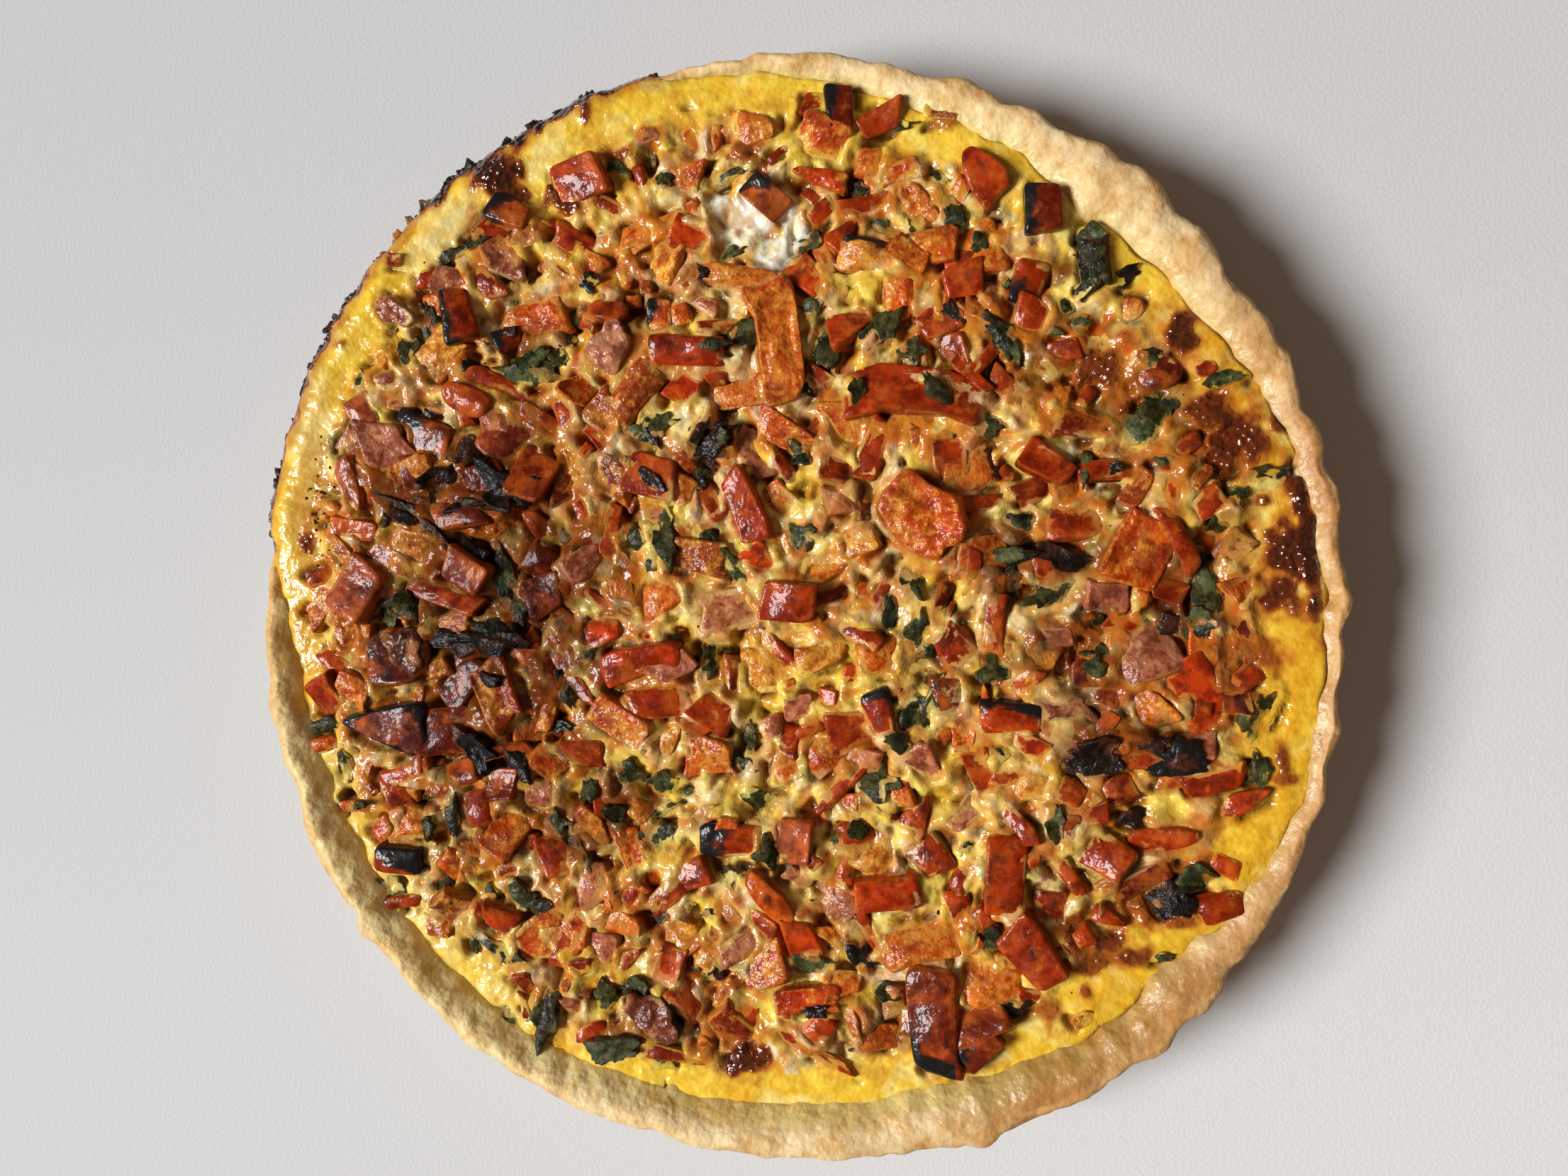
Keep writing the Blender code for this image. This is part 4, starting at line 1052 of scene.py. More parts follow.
# Further toppings by kind, tint and usual form, as rows of x, y, length and width, then perhaps
# the turn, the form, the burnt share and the side it burnt from
EXTRAS = (
    ("pepper", RED, "dice", (
        (-73, 84, 10, 5, -50), (-52.5, 86, 11, 4, -24, "strip"), (-67, 69, 6, 5, 20, "dice", 0.35, 180),
        (-70, 57.5, 16, 3.5, -20, "strip"), (-88, 85, 5, 4), (28, 119, 9, 5.5, 18),
        (-40, 102, 13, 3.6, -25, "strip"), (26, 99.5, 14, 4.5, 10, "strip"),
        (19.5, 92, 8, 6.5, 50, "triangle"), (-40, 75, 9, 5, -5, "oval"), (-10, 71, 12, 3, 4, "strip"),
        (21.5, 69.5, 10, 8, 20, "triangle"), (-33, 59, 7, 5, 40, "wedge"), (42, 71, 9, 8, 30),
        (48, 80, 8, 7, 10), (63, 79, 9, 6.5, 75, "dice", 0.42, 200), (104, 58, 4, 3.5, 0, "oval"),
        (-87, 3.5, 22, 5, -15, "strip"), (-77, -14, 8, 7, 20, "dice", 0.4, 150),
        (-68, -37, 10, 3, 10, "strip"), (-52, -17, 16, 3.6, -48, "strip"), (-92, 35, 6, 8, 10),
        (-60, 34, 9, 12, -25), (-58, 48, 11, 4, -30, "strip"), (26.5, 40, 13, 5.5, 65), (45, 38, 7, 8),
        (-40, 20, 12, 4, 80, "strip"), (-36, 0, 22, 3, -26, "strip"), (28, 5, 10, 3, 60, "strip"),
        (2, -9, 13, 5, -34, "wedge"), (-28, -23, 14, 8, 15), (19.5, -42, 15, 3.6, 47, "strip"),
        (38, -50, 9, 7, 60, "wedge"), (51, 27, 12, 3.4, 8, "strip"), (82, 34, 12, 5, 5, "strip", 0.3, 270),
        (75, 22, 12, 8, 10), (67, 11, 6, 5, 90), (50, 9, 12, 3, 80, "strip"), (98, 18, 14, 4, -62, "strip"),
        (57, -2, 12, 4, 85, "strip"), (60, -9, 6, 4), (90, -32, 13, 7, -10), (113, -44, 13, 5, 28, "leaf"),
        (-79, -53, 9, 9, 10), (-99, -79, 8, 3.4, 10, "strip"), (-65, -61, 8, 4),
        (-65, -105, 8, 2.2, 90, "strip"), (-20, -67.5, 10, 7, 20), (-25, -114, 15, 3, -8, "strip"),
        (61, -50.5, 12, 3.6, -48, "strip"), (96, -53, 15, 7, 12, "wedge"), (84, -73, 7, 5, -20, "triangle"),
        (73, -62, 12, 3.6, -52, "strip"), (109, -69, 9, 6, 20), (10, -110, 22, 3.4, -22, "strip"),
        (-20, -86, 6, 8, 10, "triangle"), (-37, -90, 9, 6, 30, "triangle"), (-53, -89, 8, 6, 60),
        (49, -64, 8, 3.5, 70, "strip"), (22, -55, 8, 7, 20), (53, -38, 5, 10, 20), (-97, 90, 3, 3),
        (12, 124, 5, 4), (-44, 44, 8, 4, -40, "strip"), (104, -20, 5, 6))),
    ("pepper", DEEP, "dice", (
        (-91, 43, 15, 12, -15, "dice", 0.34, 140), (-66, 45, 15, 10, 40), (-80, -19, 13, 10, 50, "wedge"),
        (-60, -14, 14, 7, -60), (-85, -32, 16, 11, 10), (-58, 4, 9, 9, 20), (-72, 33, 10, 9, 15),
        (-83, 24, 18, 7, 6), (52, -100, 14, 10, 30), (76, 45, 10, 5, -10), (65, 30, 9, 5, 20),
        (85, -42, 8, 6, 20), (91, -64, 13, 4.5, 28, "strip"), (74, -52, 4, 8, 0, "dice", 0.4, 180),
        (-70, -46, 8, 8), (-52, 32, 5, 9), (16, 4, 10, 3, 14, "strip"), (-9, -17, 4, 10),
        (93, 57, 9, 7.5, 0, "oval"))),
    ("pepper", BRIGHT, "dice", (
        (47, 84, 6, 5), (-101, -49, 8, 5, -60), (-42, -51, 6, 5), (-18, -29, 7, 5, 20),
        (110, -59, 6, 4, -20), (-31, 54, 6, 4, 30), (9, -82, 7, 9, 10), (-5, -103, 5, 6), (20, -64, 4, 8),
        (16, -21, 4, 4), (22, -15, 5, 4))),
    ("pepper", MAROON, "dice", (
        (-98, -13, 16, 14, 10, "lump"), (-77, -33, 12, 8, 15, "lump"), (45, -20, 7, 8, 10),
        (78, -14, 7, 6, 0, "lump"), (112, -20, 6, 5))),
    ("tomato", FLAME, "dice", (
        (-60, 74, 15, 9, 10), (-92, 35, 10, 8, 30), (-84, -5, 12, 6, 20), (-20, 107, 7, 6),
        (-13, 117, 3, 6, 0, "strip"), (-17, 98, 3.5, 7, 15, "strip"), (-24, 112, 4, 3), (28, -11, 8, 8, 10),
        (14, -36, 8, 8, 20), (-15, -36.5, 10, 9), (-36, -62, 12, 6, -70), (28, -106, 10, 6, 10),
        (-51, -83, 8, 9, 0, "oval"), (-108, -53, 12, 4, 0, "wedge"), (-88, -84, 8, 6),
        (-27, 74, 6, 7, 0, "dice", 0.35, 160), (-22, 74, 6, 6), (5, 44, 12, 7, -30),
        (-58, -24, 14, 4, 80, "strip"), (46, 100, 8, 4, 50, "strip"), (87, 72, 5, 5, 0, "oval"),
        (-87, 78, 5, 6), (60, -38, 8, 6), (-92, -100, 4, 3), (0, -90, 10, 9, 20), (-10, -54, 5, 5),
        (104, -6, 6, 9), (-121, -37, 8, 4, 10), (33, -44, 6, 6))),
    ("tomato", ORANGE, "dice", (
        (51, 86, 10, 9, 20), (-107, -15, 8, 8), (50, 35, 12, 10, 20, "dice", 0.22, 20), (53, 15, 12, 8, 10),
        (67, -10, 8, 7), (-95, -57, 9, 8), (-79, -64, 8, 5), (-57, -77, 6, 12), (-38, -81, 10, 6, -15),
        (38, -82, 18, 9, 15), (20, -93, 7, 6), (-27, 4, 10, 9, 20), (-37, 6, 6, 6, 0, "dice", 0.3, None),
        (-5, 82, 20, 6, -12, "dice", 0.18, 150), (-27, 95.5, 15, 5, 25), (5, -40, 7, 5, 40, "oval"),
        (-6, 54, 12, 6, 10, "dice", 0.3, None), (55, -90, 13, 12, 0, "oval"), (-33, 94, 10, 5, 20),
        (35, 86, 8, 5, -30), (88, 12, 7, 8))),
    ("tomato", AMBER, "dice", (
        (23, 18, 8, 7, 20), (13, -11, 10, 6, 15), (-1, -15, 9, 9, 10), (-22, -82, 7, 5),
        (78, -98, 5, 3.4, 30, "lump"), (-51, 37, 5, 11, 15, "strip"), (66, -41, 9, 7))),
    ("ham", MEAT, "dice", (
        (-82, 85, 7, 5), (-101, 59, 7, 6), (-108, 35, 6, 5), (16, 78, 8, 4, 20), (-68, 90, 9, 8),
        (-60, 95, 6, 5), (44, 121.5, 8, 6, -30), (-29, 119, 6, 4), (-70, 48, 7, 8), (-62, 95, 5, 4),
        (102, -30, 8, 5), (-84, 44, 6, 5), (-52, -104, 7, 6), (32, -97, 5, 7), (60, 92, 10, 3, 10))),
    ("ham", (0.46, 0.14, 0.07), "dice", (
        (-100, 42, 12, 11, 10), (-98, 55, 7, 6), (0, -30, 8, 6, 20), (-7, 1, 19, 10, 12), (18, 28, 8, 6),
        (-46, -70, 8, 10, 20), (-28, 25, 6, 6), (25, -37, 7, 5), (70, -5, 8, 5), (-24, -14, 9, 6, 30),
        (82, 5, 8, 6), (8, -24, 6, 6), (-44, -88, 8, 7), (-60, -48, 8, 7))),
)
# Lumps of onion under the custard's skin, by tint, as rows of x, y, length, width, perhaps turn
ONIONS = (
    (ONION, (
        (-14, 78, 13, 10, -20), (15, 37, 7, 9), (4, 35, 7, 6), (-61, 14, 8, 6), (-85, -77, 9, 7),
        (86, -60, 11, 7, -10), (14, -105, 6, 5), (23, -102, 7, 6), (-50, 12, 7, 8), (-22, 84, 8, 8),
        (32, 34, 6, 8, 20), (30, 10, 9, 5, 30), (46, 58, 10, 6, -20), (-70, -80, 8, 6), (-30, -35, 6, 8),
        (52, 48, 8, 7), (72, -19, 9, 4), (33, -34, 7, 5), (-57, 0, 8, 7), (62, 40, 8, 5), (12, 20, 6, 5),
        (38, 60, 8, 5), (-27, -97, 7, 6), (55, 3, 5, 7))),
    (PALE, (
        (96, -23.5, 6.5, 6), (48, -2, 7, 5, 20), (-36, 40, 6, 6), (60, -24, 5, 6), (28, 1, 8, 3, 60),
        (24, 22, 5, 6), (69, 40, 9, 4, 5), (-8, 62, 6, 8, 15), (48, -22, 6, 6), (35, -62, 5, 12, 10))),
)
LEAVES = (
    ("leaf", LEAF, "leaf", (
        (-75.5, 94, 5, 3, 20), (-64.5, 85, 7, 5, 70), (-60, 60, 14, 5, -10), (-60, 64, 8, 5, 20),
        (-53, 64, 5, 4), (-82, 91, 8, 3, 20), (-88, 72.5, 10, 4.5, 95), (-50, 74, 6, 4),
        (33, 117.5, 6, 1.8, 5), (-12, 107, 9, 4, 15), (-10, 88, 9, 5, 20), (30, 94, 8, 9, 80),
        (10, 91, 5, 6), (46, 95, 5, 8, 20), (16, 66, 9, 7, 60), (-5, 69, 9, 5, 30), (-12, 66, 6, 3),
        (37, 63, 5, 6), (78, 89, 5, 5), (71, 73, 4, 7), (75, 69, 6, 4, 40), (67, 68, 6, 3, -20),
        (107, 55, 8, 3.4, 12), (94, 50, 7, 9, -20), (92, 61, 5, 3), (90, 44, 9, 7), (118, 33, 8, 4.5, 20),
        (108, 22, 6, 4, 20), (-107, 59, 4, 5), (-97, 1, 8, 6), (-101, -4, 3, 8), (-65, 1, 6, 8),
        (-119, -32, 8, 4, 10), (-114, -43, 4, 8, 10), (-75, 27, 8, 3, -10), (-30, 45, 12, 7, 20),
        (-17, 34, 5, 4), (9, 39, 4, 6, 40), (9, 18.5, 6, 6, 30), (-15, 18.5, 4, 3), (-33, 19, 5, 5),
        (-26, 20, 15, 6, -75), (-28, 13, 4, 5), (-6.5, 10, 15, 4, -54), (31, -1, 5, 9), (39, -5, 6, 8),
        (36, 9, 5, 8, 30), (-13.5, -11, 11, 6, 70), (38.5, -25, 14, 7, 65), (-7, -40, 6, 5),
        (-21, -38, 3, 6), (-35, -42, 6, 6), (-26, -44, 7, 5), (-4, -32, 3, 8), (28, -42, 8, 8),
        (54, 45, 8, 4), (77, 36, 7, 2.6, 85), (70, 5, 10, 5, 20), (60, 7, 6, 6), (57, -13, 8, 5, 20),
        (104.5, 8, 13, 7, -75), (103, -2, 5, 8), (80, -12, 6, 4), (73, -36, 7, 5, 20), (117, -35, 5, 6),
        (-103, -75.5, 8, 6, -40), (-66, -75, 8, 6), (-60, -77, 6, 4), (-74, -75, 4, 5), (-91, -58, 4, 5),
        (-55, -55, 6, 5), (-68, -109, 6, 4), (-28, -60, 12, 7, 10), (-22, -49, 12, 4, 30),
        (1, -60, 5, 7, 10), (-9, -68, 4, 6, 30), (16, -60, 9, 2.6, 70), (23, -54, 4, 4), (-28, -79, 5, 2.6),
        (-20, -75, 4, 2.6, 50), (13, -88, 6, 4), (8.5, -87.5, 3.4, 2.8), (30, -95, 6, 4),
        (21, -76, 5, 3.4, 20), (-34, -97, 8, 4.6, 15), (-43, -101, 5, 8, -10), (-28, -119, 6, 7),
        (71, -50, 3.4, 8), (104, -62, 7, 6), (57, -79, 6, 5, 40), (96, -82, 5, 2, 10), (-24, -8, 4, 4),
        (47, 44, 5, 4), (23, 54, 3, 5), (43, 53, 8, 4, -50), (95, 37, 4, 3), (117, -24, 12, 6, 70),
        (57, -33, 6, 4), (33, -31, 5, 4))),
    ("leaf", DARKLEAF, "leaf", (
        (-25, 108, 5, 5, 60), (64, 19.5, 11, 8), (-69, 9, 17, 5, -75), (-83.5, -55, 9, 3.4, 85),
        (-87, -73, 9, 4, -60), (-80, -84, 10, 4, -75), (-72, -90, 10, 4, -25), (-67, -93, 5, 6),
        (-50, -62, 12, 3, -60), (-113, -53, 10, 2.4), (23.5, 103, 5, 3, -10), (46, 94, 4, 4),
        (12, 75, 6, 4), (60, 14, 8, 4, 10), (52, 88, 4, 4), (-52, -20, 4, 9, 20), (-96, 0, 5, 7, 20),
        (-10, 43, 4, 4), (-47, -46, 6, 8, 30), (-40, -52, 6, 5, 10), (80, -9, 6, 5), (-53, 20, 6, 5))),
    ("charred", BLACK, "leaf", (
        (-91, 29, 9, 8, 10, "dice"), (-74, 29, 11, 8, -10, "dice"), (-76, -8, 22, 9, -8),
        (-66, -40, 9, 5, -50), (-28, 33, 6, 2.6, -40), (-16, 44, 7, 3, 60), (-29, 44, 6, 2.6, 125),
        (-17, 33, 5, 2.6, -60), (-14, 38, 5, 2.4, 5))),
    ("charred", BLACK, "lump", (
        (-84, 33, 11, 6, 30), (-90, 28, 6, 3, -30), (74, 13, 17, 4, -15), (97, -2, 6, 5),
        (80, -34, 10, 7, 10), (93, -30, 6, 3), (99, -66, 9, 8, 20), (90, -48, 5, 4), (-17, 84, 4, 3),
        (9, 55, 4, 3, -40), (46, 72, 5, 3, -30), (62, -96, 6, 3, 30), (13, -99, 5, 3), (-66, 71, 3, 2.4),
        (-88, 50, 5, 4), (-76, 62, 5, 4), (-80, -10, 4, 3), (-54, -30, 5, 3), (-72, -18, 5, 3, -20),
        (-95, 24, 8, 3, -20), (86, 80, 5, 3, 30), (84, 35, 3, 2.6), (-78, 15, 7, 4, -20))),
)
THICK = {"pepper": 3.4, "tomato": 3.4, "ham": 3.0, "leaf": 1.2, "charred": 1.6}
# How much of a piece stands under the custard, and how clean its edge stays
SUNK = {"pepper": 0.52, "tomato": 0.58, "ham": 0.66, "leaf": 0.25, "charred": 0.25}
CLEAN = {"pepper": 0.8, "tomato": 0.4, "ham": 0.2, "leaf": 1.3, "charred": 1.6}
seeds = itertools.count(401)


def lay(kind, colour, form, x, y, length, width, turn, burnt=0.0, burnt_from=None, count=32,
        section=SECTION, sink=0.0, tilt=12.0):
    """Plan one piece laid on the custard, part sunk, in line with the slope under it."""
    z = sample(height, x, y)
    if kind in THIN:
        z = max(z, sample(tops, x, y))
    slope_x = sample(height, x + 2, y) - sample(height, x - 2, y)
    slope_y = sample(height, x, y + 2) - sample(height, x, y - 2)
    up = Vector((-slope_x / 8, -slope_y / 8, 1)).normalized()
    roll, pitch = RNG.uniform(-tilt, tilt, 2)
    base = np.array(Vector((0, 0, 1)).rotation_difference(up).to_matrix().transposed())
    axes = tilted(turn, roll, pitch) @ base
    thickness = THICK[kind] * min(1.2, 0.5 + 0.09 * min(length, width))
    place = (x, y, z + thickness * (0.5 - SUNK[kind] - sink))
    bow = RNG.uniform(-0.09, 0.09) * length if form == "strip" else 0.0
    return Plan(kind, form, place, axes, length / 2, width / 2, thickness, colour, next(seeds), bow,
                burnt, burnt_from, count, section, 1.0)


def lay_groups(groups):
    """Plans for the rows of a table of toppings."""
    laid = []
    for kind, colour, usual, rows in groups:
        grown = 1.35 if kind in THIN else 1.2
        for x, y, length, width, *rest in rows:
            turn, form, burnt, burnt_from = (*rest, *(0, usual, 0.0, None)[len(rest):])
            laid.append(lay(kind, colour, form, x, y, length * grown, width * grown, turn, burnt,
                            burnt_from, count=40 if length > 9 else 28))
    return laid


def settle_all(pieces):
    """Settle the custard round planned pieces."""
    for plan in pieces:
        settle_round(plan, CLEAN[plan.kind])


settle_all(node_plans.values())
lumps = lay_groups(EXTRAS)
onions = [(colour, x, y, length, width, *(turn or (0,)))
          for colour, rows in ONIONS for x, y, length, width, *turn in rows]
for colour, x, y, length, width, turn in onions:
    mound(x, y, length * 0.62, width * 0.62, turn, 1.5, colour, 0.9)
settle_all(lumps)
leaves = lay_groups(LEAVES)
settle_all(leaves)

# Seeded pieces between those, large ones and then small ones
BITS = (("pepper", RED, "dice", 5.5), ("pepper", BRIGHT, "dice", 2.6), ("pepper", DEEP, "strip", 1.2),
        ("tomato", FLAME, "dice", 3.2), ("tomato", ORANGE, "wedge", 2.6), ("tomato", AMBER, "dice", 1.0),
        ("tomato", RUST, "dice", 1.6), ("ham", MEAT, "dice", 0.8), ("ham", (0.42, 0.13, 0.06), "dice", 1.4),
        ("pepper", RED, "strip", 2.4), ("leaf", LEAF, "leaf", 2.6), ("charred", BLACK, "lump", 0.6))
bit_share = np.array([share for *_, share in BITS])
BURNT_BITS = (("leaf", DARKLEAF, "leaf"), ("charred", BLACK, "lump"), ("pepper", DEEP, "dice"),
              ("pepper", RED, "dice"), ("pepper", (0.24, 0.022, 0.003), "dice"), ("pepper", RED, "wedge"),
              ("tomato", (0.34, 0.060, 0.006), "dice"), ("pepper", MAROON, "strip"))
BURNT_BIT = 0.35              # gloom times a random share above this takes a burnt bit
SUNNY_GAP = 0.3               # sunny times a random share above this leaves the place bare
bits = []


def scatter(tries, most, low, more, room, count, section):
    """Lay seeded pieces where the custard still shows, each low to low + more long."""
    most_bits = len(bits) + most
    for _ in range(tries):
        if len(bits) >= most_bits:
            break
        x, y = seeded_place(121)
        kind, colour, form, _ = BITS[RNG.choice(len(BITS), p=bit_share / bit_share.sum())]
        if sample(gloom, x, y) * RNG.random() > BURNT_BIT:
            kind, colour, form = BURNT_BITS[RNG.integers(len(BURNT_BITS))]
        length = low + more * RNG.random() ** 1.3
        width, turn = length * RNG.uniform(0.5, 0.95), 360 * RNG.random()
        shade = RNG.uniform(0.75, 1.2)
        if form == "strip":
            width *= 0.45
        spread = 0.35 * length
        crowded = max(sample(taken, x + dx, y + dy) for dx, dy in
                      ((0, 0), (spread, 0), (-spread, 0), (0, spread), (0, -spread)))
        full = sample(inner, x, y) < 0.75 or crowded > room + 0.3 * sample(gloom, x, y)
        if full or sample(sunny, x, y) * RNG.random() > SUNNY_GAP:
            continue
        if kind in THIN:
            length, width = length * 0.8, width * 0.7
        colour = np.array(colour) * shade
        plan = lay(kind, tuple(colour), form, x, y, length, width, turn, count=count, section=section,
                   sink=0.10, tilt=16)
        settle_round(plan, CLEAN[kind] * 0.7)
        bits.append(plan)


scatter(tries=6000, most=150, low=8.0, more=7.0, room=0.32, count=36, section=SECTION)
scatter(tries=4000, most=90, low=4.0, more=4.2, room=0.32, count=18, section=SECTION[1::2])

# Onion gone glassy and set custard, between the pieces
for colour, x, y, length, width, turn in onions:
    tinge(x, y, length * 0.6, width * 0.6, turn, colour, 0.25, 0.5, strength=0.85, healed=0.8)
for _ in range(PALE_PATCHES):
    x, y = seeded_place(118)
    colour = (ONION, PALE, CREAM, CHEESE)[RNG.integers(4)]
    rx, ry, turn = RNG.uniform(1.8, 4.4), RNG.uniform(1.4, 3.0), 180 * RNG.random()
    if sample(inner, x, y) >= 0.6 and sample(gloom, x, y) * RNG.random() <= 0.4:
        tinge(x, y, rx, ry, turn, colour, 0.15, 0.5, lift=0.5)

# Flecks of everything in the custard's skin
FLECKS = (RED, FLAME, RUST, SAGE, LEAF, CREAM, ROSY, ORANGE, (0.80, 0.72, 0.50), (0.55, 0.06, 0.006))
for _ in range(SMALL_FLECKS):
    x, y = seeded_place(120)
    rx, ry, turn = RNG.uniform(1.2, 3.6), RNG.uniform(0.8, 1.7), 180 * RNG.random()
    colour = FLECKS[RNG.integers(len(FLECKS))]
    if sample(inner, x, y) >= 0.5 and sample(sunny, x, y) * RNG.random() <= 0.5:
        tinge(x, y, rx, ry, turn, colour, 0.12, 0.35, lift=0.15)

# The oven browns what stands up, and hollows get painted shade
relief = height - blurred(height, 5)
bare = inner * (1 - taken)
patchy = smooth(grid_noise(7, 13, 3), -0.5, 0.2)
tint = mixed(tint, (0.84, 0.66, 0.11), 0.95 * bare * patchy * smooth(sunny, 0.1, 0.7))
crest = inner * smooth(relief + 0.25 * EDGES, 0.15, 1.1) * (0.22 + 0.78 * gloom) * (1 - 0.8 * sunny)
tint = mixed(tint, (0.36, 0.085, 0.007), 0.85 * crest)
# Painted shade: hollows in the relief are darkened.
hollow_shade = inner * smooth(relief + 0.2 * EDGES, -0.2, -1.2)
tint = mixed(tint, tint * (0.62, 0.48, 0.25), hollow_shade)
dark = smooth(gloom + 0.35 * grid_noise(6, 16, 3), 0.05, 0.65) * smooth(inner, 0.2, 1)
tint = mixed(tint, mixed(tint * (0.25, 0.14, 0.08), (0.10, 0.022, 0.003), np.array(0.5)), 0.9 * dark)
for x, y, rx, ry, turn in WHITES[:4]:
    window, share, _ = cover(x, y, rx, ry, turn, 0.25, 0.5)
    tint[window] = mixed(tint[window], WHITE, 0.95 * share * (1 - taken[window] * (share < 0.3)))
    char[window] *= 1 - share

for name, plan in node_plans.items():
    made = make_object("top_" + name, *piece(plan), MATERIALS[plan.kind])
    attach(made, "root")
    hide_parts(name)
heaps = {kind: Heap() for kind in MATERIALS}
for plan in lumps + leaves + bits:
    heaps[plan.kind].take(*piece(plan))
for kind, heap in heaps.items():
    heap.make(kind + "_bits", kind)


# The custard's mesh ----------------------------------------------------------------------

def custard_mesh():
    """The custard's top in rings of even triangles, turned under at its edge."""
    points, faces, starts = [np.zeros((1, 2))], [], [0]
    size = 1
    for k in range(1, CUSTARD_RINGS + 1):
        angle = math.tau * np.arange(8 * k) / (8 * k)
        degrees = np.degrees(angle)
        radius = around(custard_edge(EDGE_STOPS), degrees) * k / CUSTARD_RINGS
        points.append(np.stack((radius * np.cos(angle), radius * np.sin(angle)), 1))
        starts.append(size)
        size += 8 * k
    faces.append(fan_faces(0, 1, 8, True))
    for k in range(1, CUSTARD_RINGS):
        for sector in range(8):
            inner_at = starts[k] + (sector * k + np.arange(k + 1)) % (8 * k)
            outer_at = starts[k + 1] + (sector * (k + 1) + np.arange(k + 2)) % (8 * k + 8)
            faces.append(np.stack((inner_at, outer_at[:-1], outer_at[1:]), 1))
            faces.append(np.stack((inner_at[:-1], outer_at[1:-1], inner_at[1:]), 1))
    flat = np.concatenate(points)
    top = np.stack((flat[:, 0], flat[:, 1], sample(height, *flat.T)), 1)
    last, count = starts[-1], 8 * CUSTARD_RINGS
    edge = top[last:]
    way = edge[:, :2] / np.hypot(*edge[:, :2].T)[:, None]
    under = edge - np.concatenate((way * 0.5, np.full((count, 1), 2.2)), 1)
    degrees = np.degrees(np.arctan2(way[:, 1], way[:, 0]))
    low = np.concatenate((way * (ring(FOOT, 0, degrees) - 1)[:, None], np.full((count, 1), FLOOR_LEVEL)), 1)
    points = np.concatenate((top, under, low, ((0, 0, FLOOR_LEVEL),)))
    faces += [strip_faces(last + count, last, count), strip_faces(last + 2 * count, last + count, count),
              fan_faces(len(points) - 1, last + 2 * count, count, False)]
    faces = np.concatenate(faces)
    x, y = points[:, 0], points[:, 1]
    colours = sample(tint, x, y)
    chopped = sample(inner, x, y) * (1 - 0.8 * sample(gloom, x, y)) * (1 - 0.7 * sample(sunny, x, y))
    marks = np.stack((sample(char, x, y), sample(wet, x, y), chopped), 1)
    films = np.concatenate((colours, sample(gloom, x, y)[:, None]), 1)
    return points, faces, np.clip(colours, 0, 1), marks, np.clip(films, 0, 1)


custard = make_object("custard_top", *custard_mesh(), custard_material())
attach(custard, "root")
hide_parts("filling")


# The pastry case -------------------------------------------------------------------------

# Browning of the rim's outer edge round the ring, and of the whole section
OUTER_BAKE = ((0, 0.35), (15, 0.4), (30, 0.25), (44, 0.5), (50, 0.3), (60, 0.15), (80, 0.1), (100, 0.5),
              (172, 0.5), (180, 0.1), (205, 0.02), (222, 0.12), (240, 0.05), (270, 0.05), (292, 0.25),
              (298, 0.6), (305, 0.5), (320, 0.4), (335, 0.4), (348, 0.45))
TOP_BAKE = ((0, 0.25), (10, 0.42), (20, 0.38), (33, 0.1), (60, 0.0), (90, 0.05), (180, 0.0), (220, 0.1),
            (270, 0.05), (290, 0.15), (300, 0.5), (312, 0.35), (330, 0.2), (345, 0.2))
PALE_TOP = ((0, 0.4), (30, 0.7), (60, 0.9), (90, 0.6), (170, 0), (200, 0), (225, 0.4), (255, 0.9),
            (285, 0.9), (300, 0.4), (330, 0.4))
# Sides of the ring: deeper gold, painted light that makes the shaded lower left paler, the inner side's
# pale places, and the brown right side with the part of it that faces the light and the fat that ran there
GOLDEN_SIDE = ((0, 0), (165, 0), (175, 0.8), (205, 0.8), (225, 0.3), (240, 0))
PAINTED_LIGHT_IN_SHADE = ((0, 0), (180, 0), (198, 0.8), (236, 0.8), (258, 0.3), (290, 0))
INNER_PALE = ((0, 0.4), (25, 0.7), (80, 0.4), (110, 0), (290, 0), (318, 0.35), (345, 0.4))
RIGHT_SIDE = ((0, 0.75), (20, 0.6), (40, 0.15), (95, 0.1), (180, 0), (286, 0.2), (300, 0.8), (330, 0.75),
              (350, 0.85))
FACING = ((0, 0.9), (20, 0.9), (40, 0.3), (60, 0), (290, 0), (305, 0.5), (320, 0.9))
FATTY = ((0, 0), (290, 0), (297, 0.9), (313, 0.8), (322, 0), (359, 0))
OILY = ((0, 0.3), (60, 0.0), (180, 0.2), (200, 0.35), (280, 0.4), (296, 0.85), (310, 0.8), (325, 0.35))
# Upright ripples in the case's inner side
RIPPLES = ((0, 1), (70, 0.8), (110, 0), (180, 0.5), (285, 0.6), (297, 2.2), (313, 2.0), (325, 1))
# Corners of pastry that stick out, and a notch: angle, how wide in degrees, how far out
TIPS = ((218.6, 1.3, 1.6), (293, 1.8, 2.4), (297.5, 1.4, -1.2), (49.5, 1.6, 1.6), (313, 1.2, 1.2))
# The section's guide points: two places, the share between them, and steps to the next guide
CASE_GUIDES = ((BASE, BASE, 0, 3), (CORNER, CORNER, 0, 4), (CORNER, RIM, 0.5, 5), (CORNER, RIM, 0.84, 4),
               (RIM, RIM, 0, 5), (SHOULDER, SHOULDER, 0, 6), (CREST, CREST, 0, 8), (BROW, BROW, 0, 7),
               (WALL, WALL, 0, 4), (WALL, FOOT, 0.18, 4), (WALL, FOOT, 0.5, 4), (FOOT, FOOT, 0, 0))


